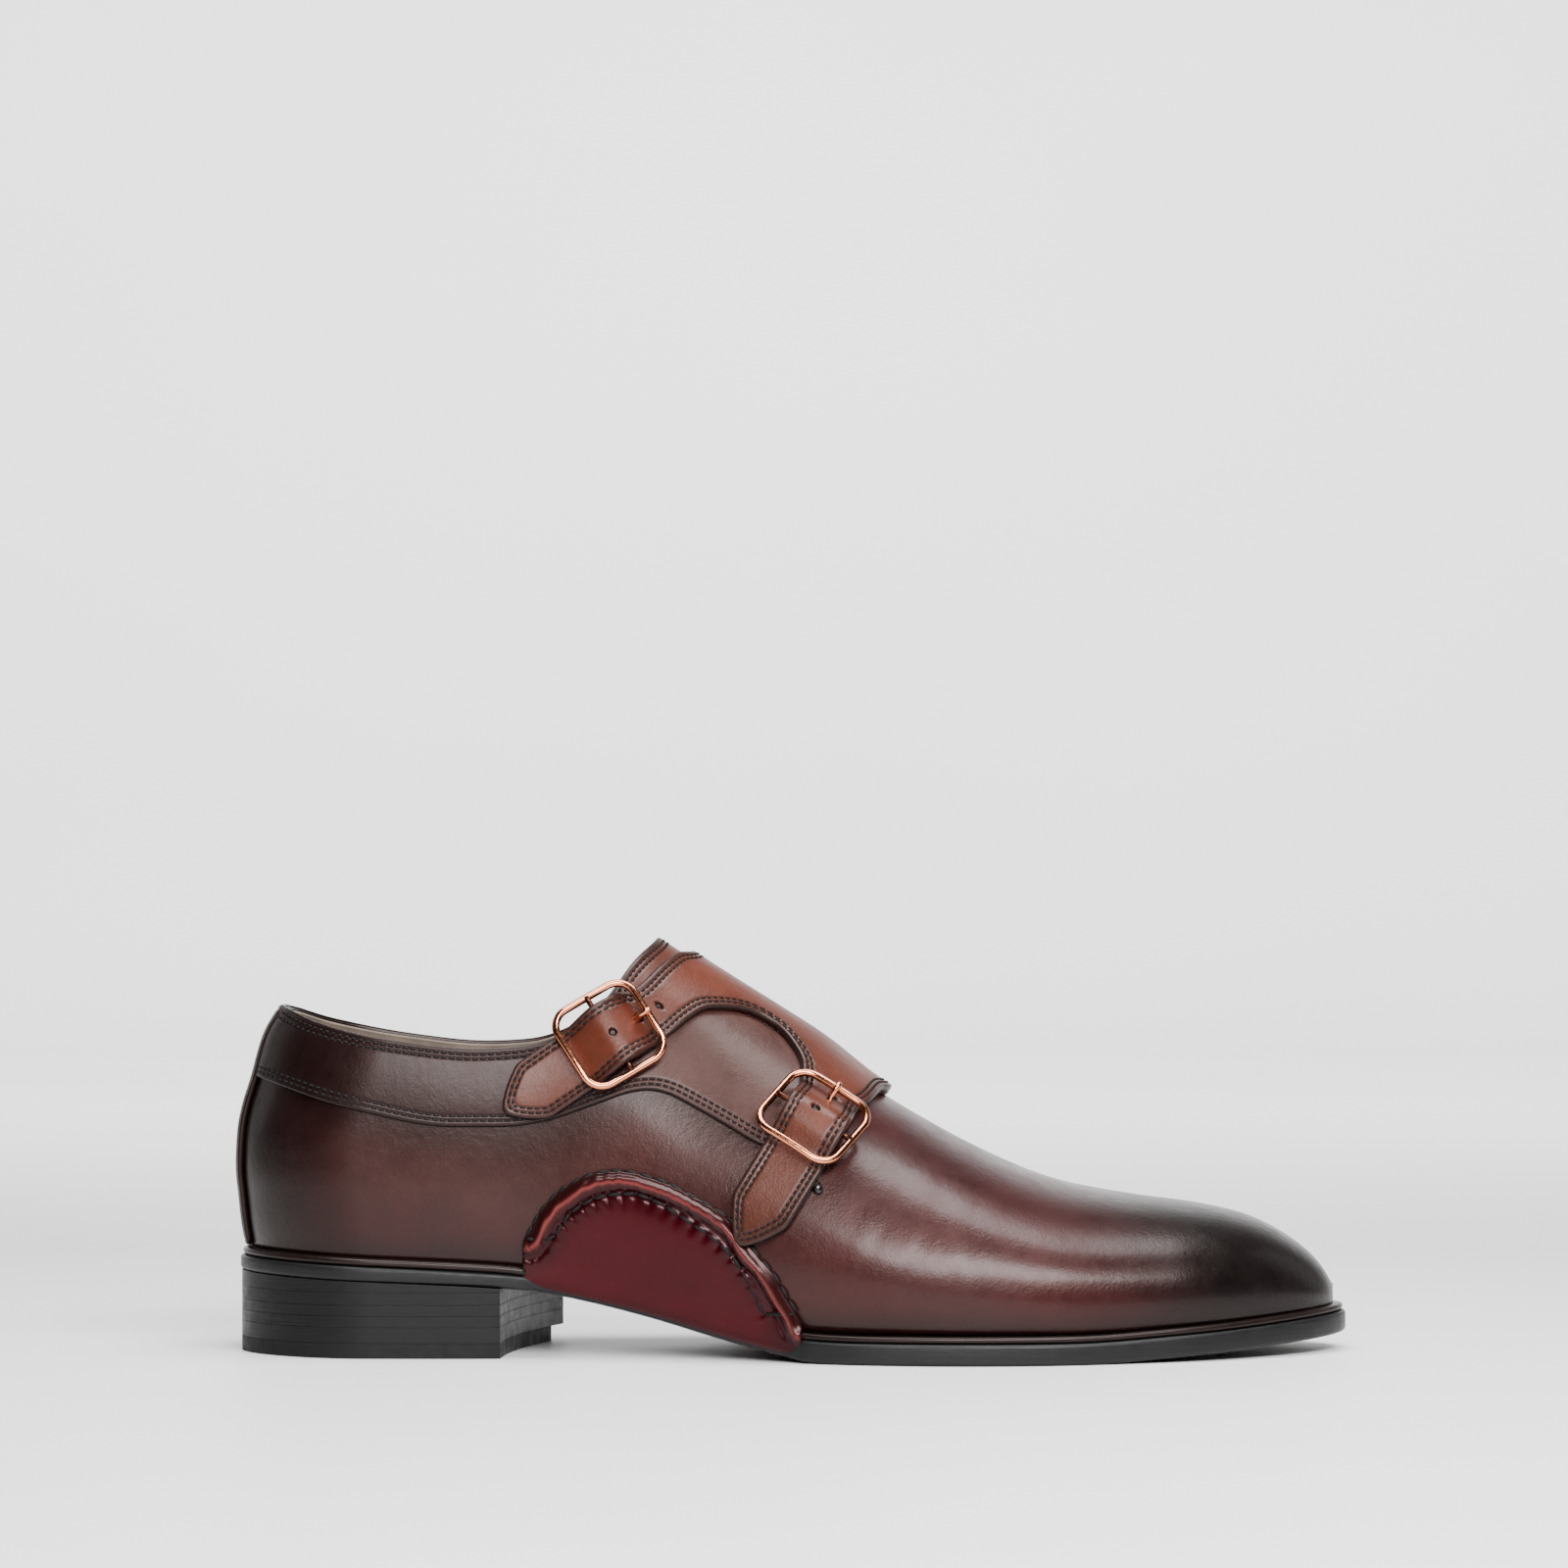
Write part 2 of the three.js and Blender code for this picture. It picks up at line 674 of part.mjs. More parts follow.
const laidInner = formSolid(PANEL_UNDER, SKIRT, UPPER_COLUMNS, UPPER_ROWS);
const stayRegion = new THREE.BoxGeometry(HEEL_ROUND, STAY_WIDTH, REACH * 4);
stayRegion.translate(-HEEL_CENTRE, 0, 0);
const stayCutter = solid(stayRegion);
const stayGap = new THREE.BoxGeometry(HEEL_ROUND, STAY_WIDTH + 2 * GAP, REACH * 4);
stayGap.translate(-HEEL_CENTRE, 0, 0);
const panel = formSolid(PANEL_OVER, SKIRT, UPPER_COLUMNS, UPPER_ROWS)
  .subtract(laidInner)
  .intersect(panelPrism)
  .subtract(collarCut)
  .subtract(solid(stayGap));
const backstay = formSolid(STAY_OVER, 0, UPPER_COLUMNS, UPPER_ROWS)
  .subtract(laidInner)
  .intersect(stayCutter)
  .subtract(collarCut)
  .subtract(plate({ out: RAND_OUT, low: level(-SKIRT), high: lowerEdge }));

const strapOuter = formSolid(strapAway, SKIRT, STRAP_COLUMNS, STRAP_ROWS);
const overPanel = formSolid(PANEL_OVER + GAP, SKIRT, UPPER_COLUMNS, UPPER_ROWS);
const barChannel = ({ place }) =>
  solid(new THREE.CylinderGeometry(BAR_ROOM, BAR_ROOM, BUCKLE_WIDE, 12).applyMatrix4(place));
const strapHole = ({ place }) =>
  solid(
    new THREE.CylinderGeometry(HOLE, HOLE, BUCKLE_LEVEL * 1.8, 14)
      .rotateX(Math.PI / 2)
      .translate(HOLE, 0, BUCKLE_LEVEL * 0.4)
      .applyMatrix4(place),
  );
const flap = strapOuter
  .intersect(flapPrism)
  .subtract(laidInner)
  .subtract(overPanel.intersect(panelGrown))
  .subtract(barChannel(placed.rear))
  .subtract(barChannel(placed.front))
  .subtract(wireRing(placed.rear, GAP))
  .subtract(wireRing(placed.front, GAP))
  .subtract(strapHole(placed.rear))
  .subtract(strapHole(placed.front))
  .subtract(wingGrown);

// Sole
const ringCut = plate({ out: -SEAT_IN, low: level(-SKIRT), high: level(REACH), columns: 40 });
const edgeRings = [
  [SOFT_EDGE, 0],
  [0, 0.25],
  [0, 0.75],
  [SOFT_TOP, 1],
];
const soleBase = plate({ out: soleOut, low: soleLow, high: soleTop, columns: 40, rings: edgeRings });
const waistSeat = between(
  plate({
    out: SEAT_OUT,
    low: (x) => soleTop(x) - SOLE_THIN / 2,
    high: (x) => lowerEdge(x) - GAP,
    columns: 40,
  }).subtract(ringCut),
  RAND_END + GAP,
  WELT_END - GAP,
);
const wingInside = formSolid(GAP, SKIRT * 2, UPPER_COLUMNS, UPPER_ROWS);
const wing = formSolid(WING_OVER, SKIRT, UPPER_COLUMNS, UPPER_ROWS)
  .subtract(wingInside)
  .intersect(sidePrism(wingOutline));
const wingLip = formSolid(WING_LIP, SKIRT, UPPER_COLUMNS, UPPER_ROWS)
  .subtract(wingInside)
  .intersect(sidePrism(wingOutline).subtract(sidePrism(wingInnerOutline)));
const wings = between(wing.add(wingLip), RAND_END + GAP, WELT_END - GAP);
const outsole = soleBase.add(waistSeat).add(wings);

const welt = between(
  plate({
    out: (at) => soleOut(at) - WELT_IN,
    low: (x) => soleTop(x) + GAP,
    high: (x) => lowerEdge(x) - GAP,
    columns: 40,
    rings: [
      [SOFT_TOP, 0],
      [0, 0.5],
      [SOFT_TOP, 1],
    ],
  }).subtract(ringCut),
  WELT_END,
  LENGTH,
);
const rand = between(
  plate({
    out: RAND_OUT,
    low: (x) => soleTop(x) + GAP,
    high: (x) => lowerEdge(x) - GAP,
    columns: 40,
    rings: [
      [BEAD, 0],
      [0, 0.5],
      [BEAD, 1],
    ],
  }).subtract(ringCut),
  -SKIRT,
  RAND_END,
);
const insole = plate({
  out: -SEAT_IN - GAP,
  low: (x) => soleTop(x) + GAP,
  high: (x) => lowerEdge(x) + INSOLE_UP,
  columns: 40,
});

// Heel
const breastOutline = [];
for (let i = 0; i <= BREAST_STEPS; i += 1) {
  const y = THREE.MathUtils.lerp(-REACH / 2, REACH / 2, i / BREAST_STEPS);
  const hollow = (y * y) / (2 * BREAST_HOLLOW);
  breastOutline.push(new THREE.Vector2(BREAST_MID - HEEL_CENTRE + hollow + y * Math.tan(BREAST_TURN), y));
}
const behindBreast = [
  ...breastOutline,
  new THREE.Vector2(-REACH, REACH / 2),
  new THREE.Vector2(-REACH, -REACH / 2),
];
const breastPrism = planPrism(behindBreast, -SKIRT, REACH);
const cornerCut = new THREE.CylinderGeometry(CORNER_ROUND, CORNER_ROUND, CORNER_UP * 2, 32);
cornerCut.rotateX(Math.PI / 2);
cornerCut.translate(BREAST_MID - HEEL_CENTRE + CORNER_AHEAD, CORNER_SIDE, 0);
const cornerTool = solid(cornerCut);
const heelLayer = (low, high, out) =>
  plate({ out, low, high }).intersect(breastPrism).subtract(cornerTool);
const topPiece = heelLayer(level(0), level(TOP_PIECE), HEEL_OUT);
const lift1 = heelLayer(level(TOP_PIECE), level(LIFT_1), HEEL_OUT);
const lift2 = heelLayer(level(LIFT_1), level(LIFT_2), HEEL_OUT);
const lift3 = heelLayer(level(LIFT_2), (x) => soleLow(x) - EDGE_ROOM, HEEL_OUT);

// Buckles
function roundedRectangle(long, wide, radius) {
  const [x, y] = [long / 2, wide / 2];
  const shape = new THREE.Path();
  shape.moveTo(x - radius, -y);
  shape.absarc(x - radius, radius - y, radius, -Math.PI / 2, 0, false);
  shape.absarc(x - radius, y - radius, radius, 0, Math.PI / 2, false);
  shape.absarc(radius - x, y - radius, radius, Math.PI / 2, Math.PI, false);
  shape.absarc(radius - x, radius - y, radius, Math.PI, Math.PI * 1.5, false);
  return shape.getPoints(3).filter((p, i, all) => i === 0 || p.distanceTo(all[i - 1]) > 0.01);
}

function wireRing({ place }, room) {
  const bevel = FRAME_BEVEL + room;
  const outer = roundedRectangle(
    BUCKLE_LONG - 2 * FRAME_BEVEL,
    BUCKLE_WIDE - 2 * FRAME_BEVEL,
    BUCKLE_CORNER - FRAME_BEVEL,
  );
  const inner = roundedRectangle(
    BUCKLE_LONG - 2 * (WIRE - FRAME_BEVEL),
    BUCKLE_WIDE - 2 * (WIRE - FRAME_BEVEL),
    BUCKLE_CORNER - (WIRE - FRAME_BEVEL),
  );
  outer.pop();
  inner.pop();
  const shape = new THREE.Shape(outer);
  shape.holes.push(new THREE.Path(inner));
  const ring = new THREE.ExtrudeGeometry(shape, {
    depth: FRAME_FLAT,
    bevelEnabled: true,
    bevelThickness: bevel,
    bevelSize: bevel,
    bevelSegments: 1,
    curveSegments: 3,
  });
  return solid(ring.translate(0, 0, -FRAME_FLAT / 2).applyMatrix4(place));
}

function buckleFrame(spot) {
  const bar = new THREE.CylinderGeometry(BAR / 2, BAR / 2, BUCKLE_WIDE - WIRE, 10);
  return wireRing(spot, 0).add(solid(bar.applyMatrix4(spot.place)));
}

// A prong leaves the centre bar, comes up through the strap and rests on the frame.
function buckleProng({ place }) {
  const path = new THREE.CatmullRomCurve3([
    new THREE.Vector3(BUCKLE_LONG * 0.054, 0, BAR_ROOM + BAR * 0.375),
    new THREE.Vector3(BUCKLE_LONG * 0.065, 0, BAR * 2),
    new THREE.Vector3(BUCKLE_LONG * 0.131, 0, BAR * 3.125),
    new THREE.Vector3(BUCKLE_LONG * 0.269, 0, BAR * 2.625),
    new THREE.Vector3(BUCKLE_LONG / 2 - WIRE / 2, 0, WIRE / 2 + GAP + PRONG / 2),
    new THREE.Vector3(BUCKLE_LONG / 2 + WIRE * 0.76, 0, WIRE / 2 + PRONG / 2),
  ]);
  const section = new THREE.Shape().absarc(0, 0, PRONG / 2, 0, Math.PI * 2, false);
  const wire = new THREE.ExtrudeGeometry(section, {
    steps: 9,
    extrudePath: path,
    bevelEnabled: false,
    curveSegments: 3,
  });
  return solid(wire.applyMatrix4(place));
}

const root = new THREE.Group();
root.name = "monk_strap_shoe";

function addPiece(name, shape, color, roughness, metalness = 0) {
  const { vertProperties, triVerts } = shape.getMesh();
  const geometry = geometryOf(Array.from(vertProperties), Array.from(triVerts));
  geometry.computeVertexNormals();
  const material = new THREE.MeshStandardMaterial({ color, roughness, metalness });
  material.name = name;
  const mesh = new THREE.Mesh(geometry, material);
  mesh.name = name;
  root.add(mesh);
}

addPiece("outsole", outsole, 0x4a1018, 0.35);
addPiece("upper", upper, 0x3a1a18, 0.4);
addPiece("tongue", tongue, 0x5a3020, 0.45);
addPiece("insole", insole, 0x8a7466, 0.8);
addPiece("collar_panel_lateral", panel.intersect(halfOf(-1)), 0x4a2620, 0.42);
addPiece("collar_panel_medial", panel.intersect(halfOf(1)), 0x48251f, 0.42);
addPiece("backstay", backstay, 0x3e1e1a, 0.42);
addPiece("strap_flap", flap, 0x6a3a24, 0.4);
addPiece("welt", welt, 0x2e1a16, 0.5);
addPiece("heel_rand", rand, 0x301c18, 0.45);
addPiece("heel_lift_3", lift3, 0x1e1e20, 0.5);
addPiece("heel_lift_2", lift2, 0x1c1c1e, 0.5);
addPiece("heel_lift_1", lift1, 0x1a1a1c, 0.5);
addPiece("heel_top_piece", topPiece, 0x141416, 0.75);
addPiece("buckle_frame_rear", buckleFrame(placed.rear), 0xc08a6a, 0.2, 1);
addPiece("buckle_frame_front", buckleFrame(placed.front), 0xc28c6c, 0.2, 1);
addPiece("buckle_prong_rear", buckleProng(placed.rear), 0xbe886a, 0.2, 1);
addPiece("buckle_prong_front", buckleProng(placed.front), 0xbc8668, 0.2, 1);

export default root;
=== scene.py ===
import math
import bpy
import bmesh
import numpy as np
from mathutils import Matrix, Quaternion, Vector
from mathutils.kdtree import KDTree


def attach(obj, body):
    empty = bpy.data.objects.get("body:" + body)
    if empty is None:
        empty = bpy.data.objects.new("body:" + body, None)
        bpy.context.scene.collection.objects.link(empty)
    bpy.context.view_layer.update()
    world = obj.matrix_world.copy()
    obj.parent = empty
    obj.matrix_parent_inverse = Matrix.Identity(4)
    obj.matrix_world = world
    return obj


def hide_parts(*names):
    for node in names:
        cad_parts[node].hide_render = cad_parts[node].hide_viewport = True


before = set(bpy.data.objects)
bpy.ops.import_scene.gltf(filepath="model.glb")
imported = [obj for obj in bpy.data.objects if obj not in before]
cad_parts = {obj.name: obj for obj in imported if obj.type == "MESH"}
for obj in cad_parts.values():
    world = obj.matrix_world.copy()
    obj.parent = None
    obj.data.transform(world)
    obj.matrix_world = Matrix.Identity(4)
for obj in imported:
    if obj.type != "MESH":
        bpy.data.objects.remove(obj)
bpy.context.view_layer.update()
mm = 0.001

# Sizes of the shoe in millimetres, as the CAD pieces have them.
# x runs from the heel back here; the frame's own X is x less heelCentre.
shoe = {
    "length": 305, "ball": 100, "instep": 111.8, "heelCentre": 40.4,
    "heelRise": 22.3, "toeSpring": 5, "soleThin": 4, "soleThick": 5.8, "weltStack": 2.2,
    "heelRound": 34, "toeRound": 47, "toeTip": 301.4, "backIn": 30,
    "bellyUp": 0.22, "bellyTurn": 0.2, "thickenFrom": 0.3, "thickenOver": 0.2,
    "randEnd": 80.9, "weltEnd": 153.3,
}


def table(names, *rows):
    return {name: np.array([row[i] for row in rows], float) for i, name in enumerate(names.split())}


# Half widths and middle line of the lower edge, shares of the ball width
plan = table(
    "at lateral medial axis",
    (0.0, 0.27, 0.27, 0.0), (0.1, 0.3, 0.305, 0.0), (0.2, 0.305, 0.31, 0.0), (0.27, 0.298, 0.295, 0.0),
    (0.33, 0.31, 0.275, 0.0), (0.4, 0.35, 0.285, 0.0), (0.46, 0.403, 0.32, 0.0), (0.52, 0.46, 0.372, 0.0),
    (0.58, 0.505, 0.425, 0.0), (0.655, 0.527, 0.468, 0.0), (0.72, 0.517, 0.462, 0.005),
    (0.78, 0.475, 0.42, 0.01), (0.84, 0.42, 0.365, 0.015), (0.9, 0.368, 0.312, 0.022),
    (0.95, 0.33, 0.276, 0.028), (1.0, 0.3, 0.245, 0.03),
)
# Ridge height as a share of the instep, and its shift to the medial side
ridge = table(
    "at high crest",
    (0.0, 1.06, 0.0), (0.32, 1.06, 0.01), (0.355, 1.04, 0.018), (0.379, 1.0, 0.022), (0.42, 0.926, 0.03),
    (0.483, 0.8175, 0.035), (0.526, 0.742, 0.035), (0.568, 0.65, 0.035), (0.6, 0.595, 0.034),
    (0.66, 0.504, 0.03), (0.719, 0.432, 0.024), (0.75, 0.406, 0.02), (0.807, 0.378, 0.012),
    (0.863, 0.358, 0.006), (0.905, 0.333, 0.003), (0.933, 0.301, 0.002), (0.961, 0.25, 0.001),
    (0.981, 0.197, 0.0), (0.989, 0.151, 0.0),
)
# How far a section bellies out, and how full it is up to the ridge
form = table(
    "at belly fullLateral fullMedial",
    (0.0, 1.05, 0.86, 0.86), (0.15, 1.06, 0.86, 0.86), (0.26, 1.08, 0.92, 0.9), (0.33, 1.12, 1.04, 0.96),
    (0.39, 1.13, 1.2, 1.05), (0.47, 1.1, 1.28, 1.1), (0.55, 1.06, 1.25, 1.08), (0.64, 1.04, 1.12, 1.0),
    (0.75, 1.03, 1.0, 0.94), (0.86, 1.02, 0.92, 0.88), (1.0, 1.0, 0.85, 0.85),
)
# Heel curve from the side
back = table(
    "at inward",
    (0.0, 0.143), (0.08, 0.1), (0.166, 0.073), (0.24, 0.05), (0.344, 0.063), (0.417, 0.1), (0.51, 0.187),
    (0.587, 0.247), (0.644, 0.3), (0.711, 0.42), (0.75, 0.5), (1.0, 0.9),
)
# Outsole: rise, toe spring, and edge beyond the upper in millimetres
sole = table(
    "at pitch spring out",
    (0.0, 1.0, 0.0, 3.1), (0.12, 0.93, 0.0, 2.9), (0.25, 0.84, 0.0, 2.0), (0.3, 0.72, 0.0, 1.6),
    (0.34, 0.6, 0.0, 1.5), (0.385, 0.444, 0.0, 1.5), (0.425, 0.287, 0.0, 1.6), (0.47, 0.13, 0.0, 2.0),
    (0.51, 0.02, 0.0, 3.3), (0.56, 0.0, 0.0, 4.1), (0.76, 0.0, 0.0, 4.1), (0.82, 0.0, 0.2, 3.9),
    (0.9, 0.0, 0.5, 3.7), (0.95, 0.0, 0.75, 3.6), (1.0, 0.0, 1.0, 3.5),
)
# Outlines seen from the side: shares of the length and of the instep's height
topline = table(
    "at high",
    (-0.06, 0.93), (0.0, 0.872), (0.044, 0.842), (0.08, 0.804), (0.152, 0.763), (0.222, 0.744),
    (0.262, 0.75), (0.287, 0.768), (0.319, 0.82), (0.342, 0.888), (0.357, 0.951), (0.379, 1.003),
)
panelSeam = table(
    "at high",
    (-0.05, 0.7), (0.018, 0.672), (0.104, 0.606), (0.2, 0.56), (0.247, 0.56), (0.279, 0.572),
    (0.33, 0.617), (0.36, 0.644), (0.375, 0.648), (0.389, 0.64), (0.414, 0.606), (0.44, 0.567),
    (0.475, 0.515), (0.5, 0.5),
)


# Smooth curve through one column of a table, softened a little
def smoothCurve(rows, column, soften=0.01):
    at, y = rows["at"], rows[column]
    slope = np.diff(y) / np.diff(at)
    tangent = np.concatenate(([slope[0]], np.zeros(len(y) - 2), [slope[-1]]))
    for i in range(1, len(y) - 1):
        a, b = slope[i - 1], slope[i]
        tangent[i] = 0 if a * b <= 0 else 2 * a * b / (a + b)
    dense = np.linspace(at[0], at[-1], 1201)
    i = np.clip(np.searchsorted(at, dense, side="right") - 1, 0, len(at) - 2)
    h = at[i + 1] - at[i]
    u = (dense - at[i]) / h
    value = (y[i] + (y[i + 1] - y[i]) * u * u * (3 - 2 * u)
             + h * (tangent[i] * u * (1 - u) ** 2 + tangent[i + 1] * u * u * (u - 1)))
    step = dense[1] - dense[0]
    reach = int(3 * soften / step)
    if reach > 0:
        weight = np.exp(-0.5 * (np.arange(-reach, reach + 1) * step / soften) ** 2)
        before = 2 * value[0] - value[reach:0:-1]
        after = 2 * value[-1] - value[-2:-reach - 2:-1]
        value = np.convolve(np.concatenate((before, value, after)), weight / weight.sum(), "valid")
    return lambda place: np.interp(place, dense, value)


lateralHalf = smoothCurve(plan, "lateral", 0.015)
medialHalf = smoothCurve(plan, "medial", 0.015)
axisShift = smoothCurve(plan, "axis", 0.015)
ridgeHigh = smoothCurve(ridge, "high", 0.008)
ridgeCrest = smoothCurve(ridge, "crest", 0.01)
bellyShare = smoothCurve(form, "belly", 0.02)
fullLateral = smoothCurve(form, "fullLateral", 0.02)
fullMedial = smoothCurve(form, "fullMedial", 0.02)
backIn = smoothCurve(back, "inward", 0.02)
solePitch = smoothCurve(sole, "pitch", 0.01)
soleSpring = smoothCurve(sole, "spring", 0.02)
soleOut = smoothCurve(sole, "out", 0.012)


def soleLow(x):
    at = x / shoe["length"]
    return shoe["heelRise"] * solePitch(at) + shoe["toeSpring"] * soleSpring(at)


def soleTop(x):
    share = np.clip((x / shoe["length"] - shoe["thickenFrom"]) / shoe["thickenOver"], 0, 1)
    return soleLow(x) + shoe["soleThin"] + (shoe["soleThick"] - shoe["soleThin"]) * share


def lowerEdge(x):
    return soleTop(x) + shoe["weltStack"]


def roundEnd(distance, length):
    return np.sqrt(np.clip(1 - (1 - np.clip(distance / length, 0, 1)) ** 2, 0, 1))


def halfWidth(side, x, margin, start, end):
    at = x / shoe["length"]
    half = np.where(side < 0, lateralHalf(at), medialHalf(at)) * shoe["ball"] + margin
    half = half * roundEnd(x - start, shoe["heelRound"] + margin)
    return half * roundEnd(end - x, shoe["toeRound"] + margin)


def heightShare(up):
    below = up < shoe["bellyTurn"]
    angle = np.where(below, 0, (up - shoe["bellyTurn"]) / (1 - shoe["bellyTurn"]) * math.pi / 2)
    share = shoe["bellyUp"] + (1 - shoe["bellyUp"]) * np.sin(angle)
    return np.where(below, shoe["bellyUp"] * up / shoe["bellyTurn"], share), below, angle


# A point of the upper's outer face at x, up a side (0 lower edge, 1 ridge)
def sectionPoint(x, up, side):
    high, below, angle = heightShare(up)
    start = backIn(high) * shoe["backIn"]
    at = x / shoe["length"]
    belly = bellyShare(at)
    full = np.where(side < 0, fullLateral(at), fullMedial(at))
    wide = np.where(below, 1 + (belly - 1) * np.sin(up / shoe["bellyTurn"] * math.pi / 2),
                    belly * np.clip(np.cos(angle), 0, 1) ** full)
    low = lowerEdge(x)
    y = (axisShift(at) + ridgeCrest(at) * high ** 2) * shoe["ball"]
    y = y + side * wide * halfWidth(side, x, 0, start, shoe["toeTip"])
    z = low + (ridgeHigh(at) * shoe["instep"] - low) * high
    return np.stack(np.broadcast_arrays(x - shoe["heelCentre"], y, z), -1)


def facePoint(turn, around):
    side = np.where(around < 0.5, -1.0, 1.0)
    up = 1 - np.abs(around * 2 - 1)
    start = backIn(heightShare(up)[0]) * shoe["backIn"]
    return sectionPoint(start + (shoe["toeTip"] - start) * (1 - np.cos(turn)) / 2, up, side)


def unit(v):
    return v / np.maximum(np.linalg.norm(v, axis=-1, keepdims=True), 1e-9)


def runAlong(points):
    return np.concatenate(([0], np.cumsum(np.linalg.norm(np.diff(points, axis=0), axis=1))))


def readLine(at, run, points):
    return np.stack([np.interp(at, run, points[:, k]) for k in range(points.shape[1])], 1)


def faceNormal(turn, around, step=2e-3):
    ahead, behind = np.minimum(turn + step, math.pi), np.maximum(turn - step, 0)
    along = facePoint(ahead, around) - facePoint(behind, around)
    across = facePoint(turn, np.minimum(around + step, 1)) - facePoint(turn, np.maximum(around - step, 0))
    normal = np.cross(along, across)
    ends = (turn < 1e-6) | (turn > math.pi - 1e-6)
    normal[..., 1] = np.where(ends, 0, normal[..., 1])
    return unit(normal)


# Where a point seen from the side lies on the upper: its height up the side
def upAt(x, z):
    low = lowerEdge(x)
    share = np.clip((z - low) / (ridgeHigh(x / shoe["length"]) * shoe["instep"] - low), 0, 1)
    angle = np.arcsin(np.clip((share - shoe["bellyUp"]) / (1 - shoe["bellyUp"]), 0, 1))
    return np.where(share < shoe["bellyUp"], share / shoe["bellyUp"] * shoe["bellyTurn"],
                    shoe["bellyTurn"] + (1 - shoe["bellyTurn"]) * angle / (math.pi / 2))


def turnAt(x, up):
    start = backIn(heightShare(up)[0]) * shoe["backIn"]
    return np.arccos(np.clip(1 - 2 * (x - start) / (shoe["toeTip"] - start), -1, 1))


# Sections unrolled: girth is the distance from the ridge, lateral side negative
girthX = np.arange(60.0, 232.0, 1.0)
girthUp = np.linspace(0, 1, 241)
girthArc = {}
for side in (-1, 1):
    points = sectionPoint(girthX[:, None], girthUp[None, :], side)
    steps = np.linalg.norm(np.diff(points[..., 1:], axis=1), axis=-1)
    fromRidge = np.concatenate((np.cumsum(steps[:, ::-1], 1)[:, ::-1], np.zeros((len(girthX), 1))), 1)
    girthArc[side] = fromRidge


# Value of a grid between its rows, a share of the way along them
def readTable(grid, row, share):
    i = np.clip(row, 0, len(grid) - 1.001)
    j = np.clip(share, 0, 1) * (grid.shape[1] - 1)
    j = np.minimum(j, grid.shape[1] - 1.001)
    a, b = i.astype(int), j.astype(int)
    p, q = i - a, j - b
    return ((1 - p) * ((1 - q) * grid[a, b] + q * grid[a, b + 1])
            + p * ((1 - q) * grid[a + 1, b] + q * grid[a + 1, b + 1]))


girthTotal = {side: girthArc[side][:, 0] for side in (-1, 1)}
girthToUp = {}
for side in (-1, 1):
    girthToUp[side] = np.array([np.interp(girthUp * row[0], row[::-1], girthUp[::-1])
                                for row in girthArc[side]])


def girthOf(x, z, side):
    return side * readTable(girthArc[side], x - girthX[0], upAt(x, z))


def girthPlace(x, girth):
    out = np.zeros(x.shape + (3,))
    for side in (-1, 1):
        pick = (girth < 0) if side < 0 else (girth >= 0)
        xs, g = x[pick], np.abs(girth[pick])
        total = np.interp(xs, girthX, girthTotal[side])
        beyond = np.maximum(g - total, 0)
        point = sectionPoint(xs, readTable(girthToUp[side], xs - girthX[0], g / total), side)
        point[..., 2] -= beyond
        out[pick] = point
    return out


def girthNormal(x, girth, step=0.35):
    along = girthPlace(x + step, girth) - girthPlace(x - step, girth)
    across = girthPlace(x, girth + step) - girthPlace(x, girth - step)
    return unit(np.cross(along, across))


# How far up the side each column meets a line seen from the side
def edgeUp(turn, line, limit=1.0):
    low, high = np.zeros_like(turn), np.full_like(turn, limit)
    for _ in range(40):
        middle = (low + high) / 2
        point = facePoint(turn, middle / 2)
        over = point[..., 2] > line((point[..., 0] + shoe["heelCentre"]) / shoe["length"]) * shoe["instep"]
        low, high = np.where(over, low, middle), np.where(over, middle, high)
    return (low + high) / 2


toplineHigh = smoothCurve(topline, "high", 0.006)
seamHigh = smoothCurve(panelSeam, "high", 0.004)
throatX = 115.3
throatTurn = float(turnAt(np.array(throatX), np.array(1.0)))
turnGrid = np.linspace(0, math.pi, 2001)
toplineEnd = topline["at"][-1]
topUp = np.where(turnGrid < throatTurn,
                 edgeUp(turnGrid, lambda at: np.where(at > toplineEnd, 9, toplineHigh(at))), 1.0)


def newPiece(name, bm, material, nodes=()):
    mesh = bpy.data.meshes.new(name)
    bm.to_mesh(mesh)
    bm.free()
    piece = bpy.data.objects.new(name, mesh)
    bpy.context.scene.collection.objects.link(piece)
    mesh.materials.append(material)
    mesh.polygons.foreach_set("use_smooth", [True] * len(mesh.polygons))
    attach(piece, "root")
    if nodes:
        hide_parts(*nodes)
    return piece


def faceOutward(bm):
    bmesh.ops.recalc_face_normals(bm, faces=bm.faces[:])
    if bm.calc_volume(signed=True) < 0:
        bmesh.ops.reverse_faces(bm, faces=bm.faces[:])


def readPoints(bm):
    return np.array([v.co[:] for v in bm.verts])


def placePoints(bm, points):
    for v, p in zip(bm.verts, points * mm):
        v.co = p


def writeAttribute(piece, name, values):
    layer = piece.data.attributes.new(name, "FLOAT", "POINT")
    layer.data.foreach_set("value", np.asarray(values, np.float32))


def writeColour(piece, colours):
    layer = piece.data.attributes.new("dye", "FLOAT_COLOR", "POINT")
    rgba = np.concatenate((colours, np.ones((len(colours), 1))), 1)
    layer.data.foreach_set("color", rgba.astype(np.float32).ravel())


def solidifyPiece(piece, thickness):  # the wall grows inward
    wall = piece.modifiers.new("wall", "SOLIDIFY")
    wall.thickness = thickness * mm
    wall.offset = -1


